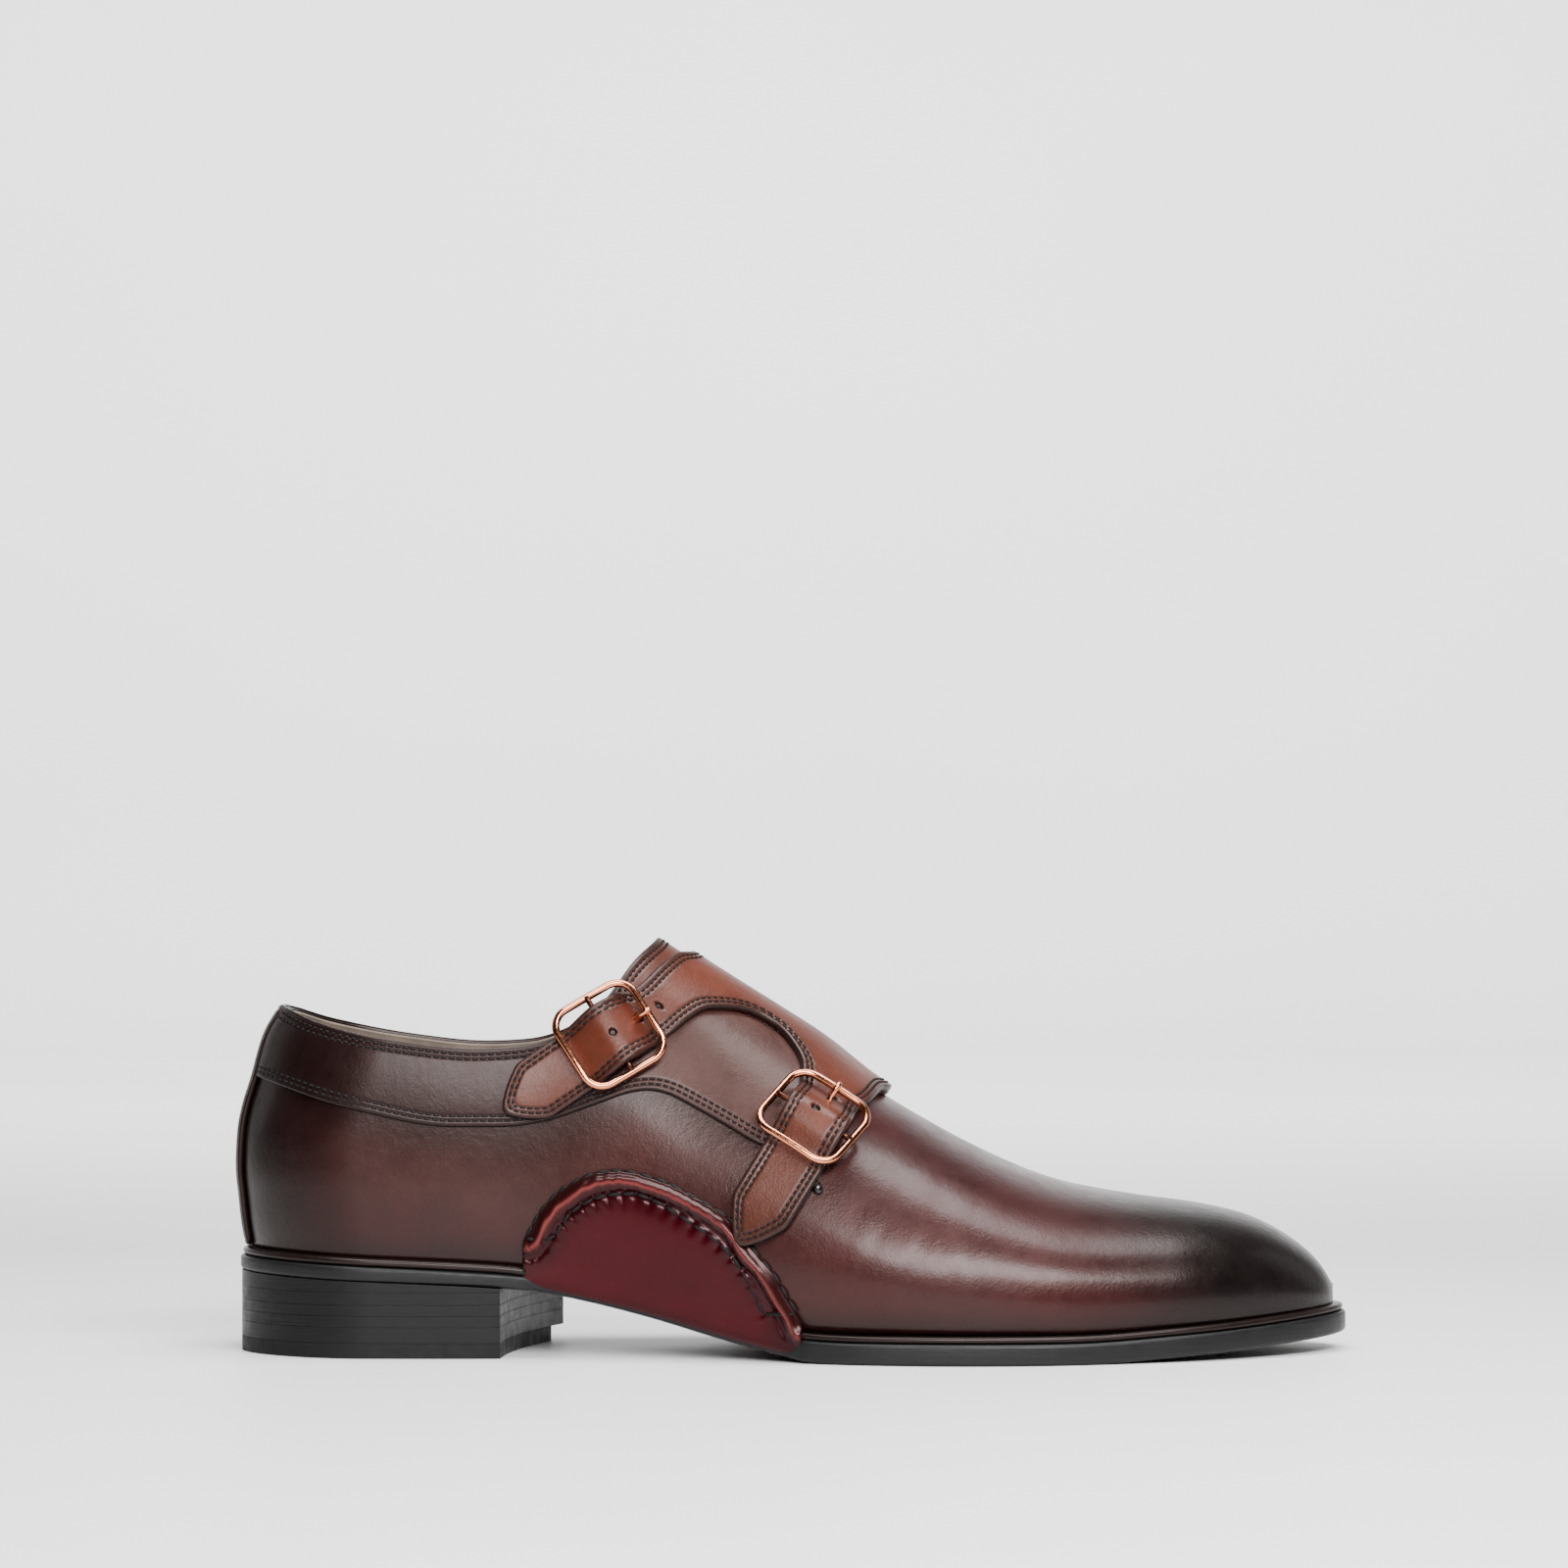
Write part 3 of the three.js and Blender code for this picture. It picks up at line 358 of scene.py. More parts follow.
def resample(points, step, closed=True):
    pts = np.asarray(points, float)
    if closed:
        pts = np.concatenate((pts, pts[:1]))
    run = runAlong(pts)
    count = max(8, int(round(run[-1] / step)))
    out = readLine(np.linspace(0, run[-1], count + 1), run, pts)
    return out[:-1] if closed else out


def soften(points, reach, closed=True):
    weight = np.exp(-0.5 * (np.arange(-3 * reach, 3 * reach + 1) / reach) ** 2)
    weight /= weight.sum()
    pad = 3 * reach
    if closed:
        wide = np.concatenate((points[-pad:], points, points[:pad]))
    else:
        before, after = 2 * points[0] - points[pad:0:-1], 2 * points[-1] - points[-2:-pad - 2:-1]
        wide = np.concatenate((before, points, after))
    return np.stack([np.convolve(wide[:, k], weight, "valid") for k in range(points.shape[1])], 1)


def evenLine(points, reach):
    return soften(resample(points, 0.5, closed=False), reach, closed=False)


# Distance inward from a smooth, evenly drawn outline, and the nearest place on it
def outlineDistance(points, outline):
    tree = KDTree(len(outline))
    for i, (u, v) in enumerate(outline):
        tree.insert((u, v, 0), i)
    tree.balance()
    near = np.array([tree.find((u, v, 0))[1] for u, v in points], int)
    behind, ahead = np.roll(outline, 1, 0), np.roll(outline, -1, 0)
    distance, foot = np.full(len(points), 1e9), np.zeros((len(points), 2))
    for a, b in ((behind[near], outline[near]), (outline[near], ahead[near])):
        edge = b - a
        t = np.clip(((points - a) * edge).sum(1) / np.maximum((edge ** 2).sum(1), 1e-12), 0, 1)
        spot = a + t[:, None] * edge
        gap = np.hypot(*(points - spot).T)
        closer = gap < distance
        distance[closer], foot[closer] = gap[closer], spot[closer]
    area = np.sum(outline[:, 0] * ahead[:, 1] - outline[:, 1] * ahead[:, 0])
    tangent = (ahead - behind)[near] * np.sign(area)
    inside = (points - foot)[:, 1] * tangent[:, 0] - (points - foot)[:, 0] * tangent[:, 1] > 0
    return np.where(inside, distance, -distance), foot, near


# A sheet cut to an outline: an even grid inside, and rings that follow the edge
def cutSheet(outline, cell, insets, fine=()):
    low, high = outline.min(0) - cell, outline.max(0) + cell
    count = np.ceil((high - low) / cell).astype(int)
    bm = bmesh.new()
    bmesh.ops.create_grid(bm, x_segments=int(count[0]), y_segments=int(count[1]), size=1)
    for v in bm.verts:
        v.co.x = low[0] + (v.co.x + 1) / 2 * (high[0] - low[0])
        v.co.y = low[1] + (v.co.y + 1) / 2 * (high[1] - low[1])
    distance = outlineDistance(readPoints(bm)[:, :2], outline)[0]
    keep = insets[0] + 0.25 * cell
    bmesh.ops.delete(bm, geom=[v for v, d in zip(list(bm.verts), distance) if d < keep], context="VERTS")
    while True:
        loose = [v for v in bm.verts if not v.link_faces or sum(e.is_boundary for e in v.link_edges) > 2]
        if not loose:
            break
        bmesh.ops.delete(bm, geom=loose, context="VERTS")
    for u, v, radius in fine:
        near = [f for f in bm.faces if (f.calc_center_median().xy - Vector((u, v))).length < radius]
        edges = list({e for f in near for e in f.edges})
        bmesh.ops.subdivide_edges(bm, edges=edges, cuts=3, use_grid_fill=True)
    loop = [next(v for v in bm.verts if v.is_boundary)]
    while True:
        ahead = [e.other_vert(loop[-1]) for e in loop[-1].link_edges if e.is_boundary]
        ahead = [v for v in ahead if len(loop) < 2 or v is not loop[-2]][0]
        if ahead is loop[0]:
            break
        loop.append(ahead)
    start = np.array([v.co[:2] for v in loop])
    _, foot, near = outlineDistance(start, outline)
    turns = np.unwrap(near * 2 * math.pi / len(outline))
    if turns[-1] < turns[0]:
        loop, start, foot = loop[::-1], start[::-1], foot[::-1]
        turns = np.unwrap(near[::-1] * 2 * math.pi / len(outline))
    even = np.arange(len(loop)) * 2 * math.pi / len(loop)
    place = (soften((turns - even)[:, None], 4)[:, 0] + even) / (2 * math.pi) * len(outline) % len(outline)
    wrapped = np.concatenate((outline, outline[:1]))
    target = readLine(place, np.arange(len(wrapped)), wrapped)
    first = soften(foot + unit(start - foot) * insets[0], 1)
    for v, p in zip(loop, first):
        v.co.x, v.co.y = p
    near = outlineDistance(readPoints(bm)[:, :2], outline)[0]
    loose = [v for v, d in zip(bm.verts, near) if not v.is_boundary and d < insets[0] + 4 * cell]
    for _ in range(6):
        bmesh.ops.smooth_vert(bm, verts=loose, factor=0.5, use_axis_x=True, use_axis_y=True)
    bm.verts.index_update()
    edges = [e for e in bm.edges if e.is_boundary]
    order = {v: i for i, v in enumerate(loop)}
    for inset in insets[1:]:
        made = bmesh.ops.extrude_edge_only(bm, edges=edges)["geom"]
        fresh = {v for v in made if isinstance(v, bmesh.types.BMVert)}
        following = {}
        for v in fresh:
            inner = next(o for o in (e.other_vert(v) for e in v.link_edges) if o in order)
            following[v] = order[inner]
            v.co.x, v.co.y = target[order[inner]] + (first - target)[order[inner]] * (inset / insets[0])
        order = following
        edges = [e for e in made if isinstance(e, bmesh.types.BMEdge) and all(v in fresh for v in e.verts)]
    return bm


# Both faces of a cut sheet: the second lies at z -1
def sheetSolid(bm):
    for v in bmesh.ops.extrude_face_region(bm, geom=bm.faces[:])["geom"]:
        if isinstance(v, bmesh.types.BMVert):
            v.co.z = -1
    return bm


def edgeDrop(distance, radius):
    t = np.clip(distance / radius, 0, 1)
    return radius * (1 - np.sqrt(np.clip(1 - (1 - t) ** 2, 0, 1)))


def groove(distance, row, width, depth):
    return depth * np.exp(-((distance - row) / width) ** 2)


def smoothstep(low, high, value):
    t = np.clip((value - low) / (high - low), 0, 1)
    return t * t * (3 - 2 * t)


def mixColour(a, b, share):
    return a * (1 - share[:, None]) + b * share[:, None]


def rgb(*values):
    shares = np.array(values) / 255
    return np.where(shares <= 0.04045, shares / 12.92, ((shares + 0.055) / 1.055) ** 2.4)


# Even marks along a line of plane points: the ends of its stitches
def marksAlong(line, step):
    run = runAlong(line)
    count = max(2, int(round(run[-1] / step)))
    return readLine(np.linspace(0, run[-1], count + 1), run, line)


print("forms ready")


# Finishes: each is one Principled shader with worked-out colour, roughness and bump
def nodeTree(name):
    material = bpy.data.materials.new(name)
    material.use_nodes = True
    tree = material.node_tree
    return material, tree, tree.nodes["Principled BSDF"]


def link(tree, a, b):
    tree.links.new(a, b)


def noiseNode(tree, scale, detail=4, stretch=None, rough=0.55, distortion=0):
    place = tree.nodes.new("ShaderNodeTexCoord")
    mapping = tree.nodes.new("ShaderNodeMapping")
    link(tree, place.outputs["Object"], mapping.inputs["Vector"])
    if stretch:
        mapping.inputs["Scale"].default_value = stretch
    noise = tree.nodes.new("ShaderNodeTexNoise")
    noise.inputs["Scale"].default_value = scale
    noise.inputs["Detail"].default_value = detail
    noise.inputs["Roughness"].default_value = rough
    noise.inputs["Distortion"].default_value = distortion
    link(tree, mapping.outputs["Vector"], noise.inputs["Vector"])
    return noise.outputs["Fac"]


def cellNode(tree, scale, feature="F1"):
    place = tree.nodes.new("ShaderNodeTexCoord")
    cell = tree.nodes.new("ShaderNodeTexVoronoi")
    cell.feature = feature
    cell.inputs["Scale"].default_value = scale
    link(tree, place.outputs["Object"], cell.inputs["Vector"])
    return cell.outputs["Distance"]


def ramp(tree, source, stops):
    node = tree.nodes.new("ShaderNodeValToRGB")
    node.color_ramp.elements[0].position = stops[0][0]
    node.color_ramp.elements[0].color = (*stops[0][1], 1)
    node.color_ramp.elements[1].position = stops[-1][0]
    node.color_ramp.elements[1].color = (*stops[-1][1], 1)
    for position, colour in stops[1:-1]:
        node.color_ramp.elements.new(position).color = (*colour, 1)
    link(tree, source, node.inputs["Fac"])
    return node.outputs["Color"]


def spread(tree, source, low, high, fromLow=0.0, fromHigh=1.0):
    node = tree.nodes.new("ShaderNodeMapRange")
    node.inputs["From Min"].default_value = fromLow
    node.inputs["From Max"].default_value = fromHigh
    node.inputs["To Min"].default_value = low
    node.inputs["To Max"].default_value = high
    link(tree, source, node.inputs["Value"])
    return node.outputs["Result"]


def blendNode(tree, kind, share, a, b):
    node = tree.nodes.new("ShaderNodeMix")
    node.data_type = "RGBA"
    node.blend_type = kind
    if isinstance(share, float):
        node.inputs["Factor"].default_value = share
    else:
        link(tree, share, node.inputs["Factor"])
    sockets = [s for s in node.inputs if s.type == "RGBA"]
    for value, socket in zip((a, b), sockets):
        if isinstance(value, tuple):
            socket.default_value = (*value, 1)
        else:
            link(tree, value, socket)
    return [s for s in node.outputs if s.type == "RGBA"][0]


def attributeNode(tree, name, output="Fac"):
    node = tree.nodes.new("ShaderNodeAttribute")
    node.attribute_name = name
    return node.outputs[output]


def maths(tree, kind, a, b=None):
    node = tree.nodes.new("ShaderNodeMath")
    node.operation = kind
    for value, socket in zip((a, b), node.inputs):
        if value is None:
            continue
        if isinstance(value, (int, float)):
            socket.default_value = value
        else:
            link(tree, value, socket)
    return node.outputs[0]


def bumpNode(tree, height, strength, distance, below=None):
    node = tree.nodes.new("ShaderNodeBump")
    node.inputs["Strength"].default_value = strength
    node.inputs["Distance"].default_value = distance * mm
    link(tree, height, node.inputs["Height"])
    if below is not None:
        link(tree, below, node.inputs["Normal"])
    return node.outputs["Normal"]


# With dye the colour is read from the piece; with edge its worn edges go dark
def leather(name, colour=None, dark=(0.008, 0.004, 0.0035), polish=0.3, coat=0.35, grain=1.0, patina=0.5,
            edge=True, dye=False, gloss=0.3, tint=(1, 0.82, 0.77)):
    material, tree, shader = nodeTree(name)
    cloud = noiseNode(tree, 26, 5)
    mottle = noiseNode(tree, 110, 4, rough=0.65)
    if dye:
        base = attributeNode(tree, "dye", "Color")
    else:
        base = ramp(tree, mottle, ((0.3, tuple(c * 0.9 for c in colour)), (0.7, tuple(colour))))
    shade = spread(tree, cloud, 1 - patina, 1 + patina * 0.6, 0.3, 0.7)
    fleck = spread(tree, mottle, 0.86, 1.14, 0.3, 0.7)
    tone = maths(tree, "MULTIPLY", shade, fleck)
    grey = tree.nodes.new("ShaderNodeCombineColor")
    for socket in grey.inputs[:3]:
        link(tree, tone, socket)
    base = blendNode(tree, "MULTIPLY", 1.0, base, grey.outputs[0])
    if edge:
        worn = attributeNode(tree, "edge")
        base = blendNode(tree, "MIX", worn, base, dark)
    link(tree, base, shader.inputs["Base Color"])
    rough = spread(tree, mottle, polish * 0.82, polish * 1.25, 0.25, 0.75)
    link(tree, rough, shader.inputs["Roughness"])
    shader.inputs["Coat Weight"].default_value = coat
    shader.inputs["Coat Roughness"].default_value = 0.2
    shader.inputs["Specular IOR Level"].default_value = gloss
    shader.inputs["Specular Tint"].default_value = (*tint, 1)
    cells = cellNode(tree, 1500)
    wrinkles = noiseNode(tree, 420, 6, rough=0.6)
    low = bumpNode(tree, wrinkles, 0.35 * grain, 0.22)
    link(tree, bumpNode(tree, cells, 0.22 * grain, 0.08, low), shader.inputs["Normal"])
    return material


def metal(name, colour, rough):
    material, tree, shader = nodeTree(name)
    fine = noiseNode(tree, 900, 3, (1, 1, 6))
    cloud = noiseNode(tree, 160, 3)
    base = ramp(tree, cloud, ((0.3, tuple(c * 0.86 for c in colour)), (0.7, tuple(colour))))
    link(tree, base, shader.inputs["Base Color"])
    shader.inputs["Metallic"].default_value = 1
    link(tree, spread(tree, fine, rough * 0.7, rough * 1.5, 0.3, 0.7), shader.inputs["Roughness"])
    link(tree, bumpNode(tree, fine, 0.12, 0.05), shader.inputs["Normal"])
    return material


def soleEdge(name, colour, layers=0.0, rough=0.5):
    material, tree, shader = nodeTree(name)
    mottle = noiseNode(tree, 300, 5)
    fibres = noiseNode(tree, 60, 4, (1, 1, 26), 0.7)
    stops = (0.3, tuple(c * 0.75 for c in colour)), (0.75, tuple(c * 1.2 for c in colour))
    base = ramp(tree, fibres, stops)
    link(tree, base, shader.inputs["Base Color"])
    shader.inputs["Specular IOR Level"].default_value = 0.22
    link(tree, spread(tree, mottle, rough * 0.85, rough * 1.2, 0.3, 0.7), shader.inputs["Roughness"])
    low = bumpNode(tree, fibres, 0.3 + layers, 0.25)
    link(tree, bumpNode(tree, mottle, 0.25, 0.12, low), shader.inputs["Normal"])
    return material


def threadFinish(name, colour):
    material, tree, shader = nodeTree(name)
    twist = noiseNode(tree, 1400, 3)
    base = ramp(tree, twist, ((0.3, tuple(c * 0.55 for c in colour)), (0.75, tuple(colour))))
    link(tree, base, shader.inputs["Base Color"])
    shader.inputs["Roughness"].default_value = 0.62
    shader.inputs["Specular IOR Level"].default_value = 0.2
    link(tree, bumpNode(tree, twist, 0.5, 0.15), shader.inputs["Normal"])
    return material


upperCalf = leather("burgundyCalf", dye=True, polish=0.34, coat=0.14, patina=0.26, grain=1.5, gloss=0.2)
panelCalf = leather("panelCalf", dye=True, polish=0.38, coat=0.08, patina=0.26, grain=1.6, gloss=0.18)
flapCalf = leather("chestnutCalf", dye=True, polish=0.4, coat=0.1, patina=0.3, grain=2.0, gloss=0.24)
waistCalf = leather("redWaistCalf", dye=True, polish=0.24, coat=0.08, patina=0.16, grain=0.12, gloss=0.18,
                    tint=(1, 0.55, 0.55))
liningSkin = leather("liningLeather", rgb(112, 100, 90), polish=0.6, coat=0.0, patina=0.15, grain=1.0,
                     edge=False)
insoleSkin = leather("insoleLeather", rgb(128, 112, 98), polish=0.6, coat=0.0, patina=0.15, grain=0.8,
                     edge=False)
soleFinish = soleEdge("blackSoleEdge", rgb(17, 17, 18), 0.1, 0.42)
heelFinish = soleEdge("blackHeel", rgb(9, 9, 10), 0.0, 0.42)
rubberFinish = soleEdge("blackRubber", rgb(9, 9, 10), 0.0, 0.6)
weltFinish = leather("weltLeather", rgb(17, 9, 8), polish=0.36, coat=0.1, patina=0.2, grain=0.12,
                     edge=False, gloss=0.2)
threadDark = threadFinish("darkThread", rgb(10, 6, 6))
threadPanel = threadFinish("panelThread", rgb(12, 8, 8))
cordDark = threadFinish("waxedCord", rgb(12, 6, 6))
tabLeather = leather("tabLeather", rgb(12, 11, 12), polish=0.22, coat=0.4, patina=0.1, edge=False)
roseGold = metal("roseGold", rgb(206, 130, 96), 0.13)
# The buckle bars get a darker copy of the rose gold: painted shade for where they sit under the strap
barShadeMetal = metal("barPaintedShade", rgb(70, 40, 30), 0.3)
print("materials ready")


# Leather colours before light, except the collar panel's lighter front tone, which is partly a painted
# sheen; some dark ones also serve as painted shade in places
palette = {
    "vamp": rgb(42, 12, 12), "toe": rgb(9, 5, 5), "quarter": rgb(46, 20, 18), "lowQuarter": rgb(36, 9, 9),
    "heel": rgb(13, 4, 4), "panel": rgb(28, 10, 9), "panelToneAndSheen": rgb(62, 38, 34), "flap": rgb(72, 30, 17),
    "flapDark": rgb(28, 10, 7), "red": rgb(46, 0, 6), "redDark": rgb(18, 2, 4), "redRidge": rgb(112, 44, 42),
    "edge": rgb(8, 4, 4),
}


def upperDye(points):
    x, z = points[:, 0] + shoe["heelCentre"], points[:, 2]
    colour = np.tile(palette["quarter"], (len(points), 1))
    colour = mixColour(colour, palette["lowQuarter"], smoothstep(52, 30, z) * smoothstep(175, 130, x))
    colour = mixColour(colour, palette["heel"], smoothstep(46, 8, x))
    below = seamHigh(np.clip(x / shoe["length"], 0, 0.5)) * shoe["instep"] - z  # painted shade under the collar panel's seam, partly burnish
    colour = mixColour(colour, palette["heel"], np.exp(-(below / 8) ** 2) * smoothstep(162, 150, x) * 0.7)
    aboveEdge = z - lowerEdge(x)
    colour = mixColour(colour, palette["heel"], smoothstep(9, 1, aboveEdge) * smoothstep(96, 82, x) * 0.7)
    colour = mixColour(colour, palette["vamp"], smoothstep(128, 168, x + (z - 50) * 0.5))
    colour = mixColour(colour, palette["toe"], smoothstep(220, 268, x + (z - 30) * 0.3))
    return mixColour(colour, palette["edge"], 0.7 * smoothstep(9, 0, aboveEdge) * smoothstep(120, 160, x))


upperPiece = {"columns": 300, "rows": 54, "level": 0.0, "trim": 0.0, "wall": 1.1}
liningPiece = {"columns": 150, "rows": 30, "level": -1.25, "trim": 0.004, "wall": 0.7}
formEdge = {"radius": 0.7, "worn": 1.6, "girth": 95, "clear": 20}  # girth: from lower edge to ridge
creases = table(  # along, up the side, length, slope, depth in millimetres
    "at high long lean depth",
    (0.575, 0.30, 20, 1.1, 0.07), (0.61, 0.26, 26, 1.2, 0.06), (0.65, 0.24, 22, 1.3, 0.05),
    (0.1, 0.5, 16, 0.2, 0.05),
)


def creaseDepth(points):
    x, z = points[..., 0] + shoe["heelCentre"], points[..., 2]
    depth = np.zeros(x.shape)
    for at, high, long, lean, deep in zip(*(creases[k] for k in ("at", "high", "long", "lean", "depth"))):
        dx, dz = x - at * shoe["length"], z - high * shoe["instep"]
        along = dx * math.cos(lean) + dz * math.sin(lean)
        across = -dx * math.sin(lean) + dz * math.cos(lean)
        fall = np.exp(-(along / long) ** 2)
        fold, lip = np.exp(-(across / 1.6) ** 2), np.exp(-((across - 3.2) / 2.2) ** 2)
        depth += fall * deep * (fold - 0.6 * lip)
    return depth


def formSheet(columns, rows, level, trim, **rest):
    bm = bmesh.new()
    for flag in (0, 1):
        made = bmesh.ops.create_grid(bm, x_segments=columns, y_segments=rows, size=1)["verts"]
        for v in made:
            v.co.z = flag
    spots = readPoints(bm)
    turn = (spots[:, 0] + 1) / 2 * math.pi
    row = (spots[:, 1] + 1) / 2
    top = np.interp(turn, turnGrid, topUp)
    free = top < 0.999  # columns that end at the topline
    up = (1 - (1 - row) ** 1.5) * (top - trim * free)
    around = np.where(spots[:, 2] < 0.5, up / 2, 1 - up / 2)
    point, normal = facePoint(turn, around), faceNormal(turn, around)
    fromEdge = np.where(free, (top - up) * formEdge["girth"], formEdge["clear"])
    lift = level - edgeDrop(fromEdge, formEdge["radius"])
    point = point + normal * lift[:, None]
    point = point - normal * creaseDepth(point)[:, None]
    placePoints(bm, point)
    edge = bm.verts.layers.float.new("edge")
    for v, d in zip(bm.verts, fromEdge):
        v[edge] = math.exp(-d / formEdge["worn"])
    bmesh.ops.remove_doubles(bm, verts=bm.verts[:], dist=2e-6)
    bmesh.ops.recalc_face_normals(bm, faces=bm.faces[:])
    probe = max(bm.faces, key=lambda f: f.calc_center_median().z)
    if probe.normal.z < 0:
        bmesh.ops.reverse_faces(bm, faces=bm.faces[:])
    return bm


upper = newPiece("upper", formSheet(**upperPiece), upperCalf, ("upper",))
writeColour(upper, upperDye(np.array([v.co[:] for v in upper.data.vertices]) / mm))
solidifyPiece(upper, upperPiece["wall"])
lining = newPiece("lining", formSheet(**liningPiece), liningSkin)
solidifyPiece(lining, liningPiece["wall"])
print("upper and lining ready")


# The collar panel is drawn flat: distance round the heel, and height
panelFront = table(
    "at high",
    (0.5, 0.5), (0.522, 0.56), (0.527, 0.66), (0.515, 0.74), (0.49, 0.8), (0.44, 0.86), (0.395, 0.86),
    (0.35, 0.84), (0.32, 0.805), (0.3, 0.785),
)
ringAround = 0.279  # how far up the side the distance round the heel is measured
ringPoints = facePoint(turnGrid, np.full_like(turnGrid, ringAround))
ringRun = runAlong(ringPoints)


def collarPlace(u, z):
    turn = np.interp(np.abs(u), ringRun, turnGrid)
    up = np.full_like(u, 0.5)
    for _ in range(8):
        start = backIn(heightShare(up)[0]) * shoe["backIn"]
        x = start + (shoe["toeTip"] - start) * (1 - np.cos(turn)) / 2
        up = upAt(x, z)
    around = np.where(u < 0, up / 2, 1 - up / 2)
    return turn, around


def onCollar(u, z, level):
    turn, around = collarPlace(u, z)
    return facePoint(turn, around) + faceNormal(turn, around) * np.asarray(level)[..., None]


def collarU(x, z, side):
    return side * np.interp(turnAt(x, upAt(x, z)), turnGrid, ringRun)


def sidePoints(rows, count=60):
    order = {"at": np.arange(len(rows["at"])) / (len(rows["at"]) - 1.0), "x": rows["at"], "z": rows["high"]}
    t = np.linspace(0, 1, count)
    return np.stack((smoothCurve(order, "x", 0.02)(t) * shoe["length"],
                     smoothCurve(order, "z", 0.02)(t) * shoe["instep"]), 1)


def turnOf(at, high):
    x, z = np.array(at * shoe["length"]), np.array(high * shoe["instep"])
    return float(turnAt(x, upAt(x, z)))


frontTurn = turnOf(panelFront["at"][0], panelFront["high"][0])
seamTurn = np.linspace(0, frontTurn, 400)
seamUp = edgeUp(seamTurn, seamHigh)
seamPoints = facePoint(seamTurn, seamUp / 2)
seamU = np.interp(seamTurn, turnGrid, ringRun)
topEndTurn = turnOf(panelFront["at"][-1], panelFront["high"][-1])
topTurn = np.linspace(0, topEndTurn, 240)
topPoints = facePoint(topTurn, np.interp(topTurn, turnGrid, topUp) / 2)
topU = np.interp(topTurn, turnGrid, ringRun)
front = sidePoints(panelFront)
frontU = collarU(front[:, 0], front[:, 1], 1)
collarHalf = np.concatenate((
    np.stack((seamU, seamPoints[:, 2]), 1),
    np.stack((frontU, front[:, 1]), 1)[2:-2],
    np.stack((topU, topPoints[:, 2]), 1)[::-1],
))
collarMirror = (collarHalf * (-1, 1))[::-1]
collarPiece = {"over": 1.3, "under": 0.3, "radius": 0.55, "rows": (1.5, 2.75), "cell": 1.3}
collarOutline = soften(resample(np.concatenate((collarHalf, collarMirror)), 0.5), 2)
seamRow = {"width": 0.28, "depth": 0.2, "stitch": 2.1}
stitchRings = (3.6, 3.2, 2.95, 2.75, 2.55, 2.2, 1.9, 1.7, 1.5, 1.3, 1.05, 0.8, 0.55, 0.3, 0.12, 0.0)


def panelDye(points, distance, u, v):
    x = points[:, 0] + shoe["heelCentre"]
    colour = np.tile(palette["panel"], (len(points), 1))
    # lighter towards the front: partly the panel's own taupe tone, partly a painted sheen
    colour = mixColour(colour, palette["panelToneAndSheen"], smoothstep(96, 122, x) * 0.8)
    return mixColour(colour, palette["heel"], smoothstep(62, 14, x) * 0.9)


# A leather piece laid on the form; place maps its drawing plane, bottom and extra shape its two faces
def overlay(name, outline, settings, place, dye, material, nodes, bottom=None, extra=None):
    rings = settings.get("rings", stitchRings)
    bm = sheetSolid(cutSheet(outline, settings["cell"], rings, settings.get("fine", ())))
    spots = readPoints(bm)
    u, v, lower = spots[:, 0], spots[:, 1], spots[:, 2] < -0.5
    distance = np.abs(outlineDistance(spots[:, :2], outline)[0])
    top = settings["over"] - edgeDrop(distance, settings["radius"])
    for row in settings.get("rows", ()):
        top = top - groove(distance, row, seamRow["width"], seamRow["depth"])
    if extra:
        top = top + extra(u, v, distance)
    level = np.where(lower, bottom(u, v) if bottom else settings["under"], top)
    points = place(u, v, level)
    placePoints(bm, points)
    faceOutward(bm)
    piece = newPiece(name, bm, material, nodes)
    worn = np.exp(-(distance / settings.get("burnish", 0.8)) ** 1.5)
    writeAttribute(piece, "edge", np.where(lower, 0.2, worn))
    writeColour(piece, dye(points, distance, u, v))
    return piece


overlay("collar_panel", collarOutline, collarPiece, onCollar, panelDye, panelCalf,
        ("collar_panel_lateral", "collar_panel_medial"))
print("collar panel ready")


# The flap and its two straps are drawn flat: x, and girth from the ridge
flapRear = table("at high", (0.392, 0.96), (0.377, 0.926), (0.361, 0.882), (0.351, 0.866))
flapNotch = table(
    "at high",
    (0.384, 0.758), (0.391, 0.769), (0.409, 0.809), (0.424, 0.826), (0.444, 0.823), (0.465, 0.809),
    (0.485, 0.775), (0.498, 0.734), (0.506, 0.693), (0.506, 0.651),
)
flapFront = table("at high", (0.555, 0.584), (0.565, 0.596), (0.577, 0.626))
flapMedial = table(
    "at high",
    (0.572, 0.61), (0.55, 0.56), (0.49, 0.465), (0.43, 0.445), (0.36, 0.475), (0.33, 0.62), (0.335, 0.77),
    (0.37, 0.86), (0.395, 0.94),
)
straps = {
    "rear": {"at": 0.245, "high": 0.594, "slope": 33.4, "long": 44, "point": 9.6, "nose": 0.13},
    "front": {"at": 0.455, "high": 0.281, "slope": 58, "long": 38, "point": 10.6, "nose": 0.13},
}
strapWidth = 17.2
flapRidge = {"rear": 126.0, "front": 180.4}  # where the flap's edges cross the ridge


def strapLine(strap):
    half = strapWidth / 2
    profile = [
        (strap["long"], half), (strap["point"], half), (strap["point"] * 0.45, half * 0.6),
        (0, half * strap["nose"]), (0, -half * strap["nose"]), (strap["point"] * 0.45, -half * 0.6),
        (strap["point"], -half), (strap["long"], -half),
    ]
    angle = math.radians(strap["slope"])
    tip = (strap["at"] * shoe["length"], strap["high"] * shoe["instep"])
    return np.array([(tip[0] + a * math.cos(angle) - b * math.sin(angle),
                      tip[1] + a * math.sin(angle) + b * math.cos(angle)) for a, b in profile])


def toGirth(points, side):
    return np.stack((points[:, 0], girthOf(points[:, 0], points[:, 1], side)), 1)


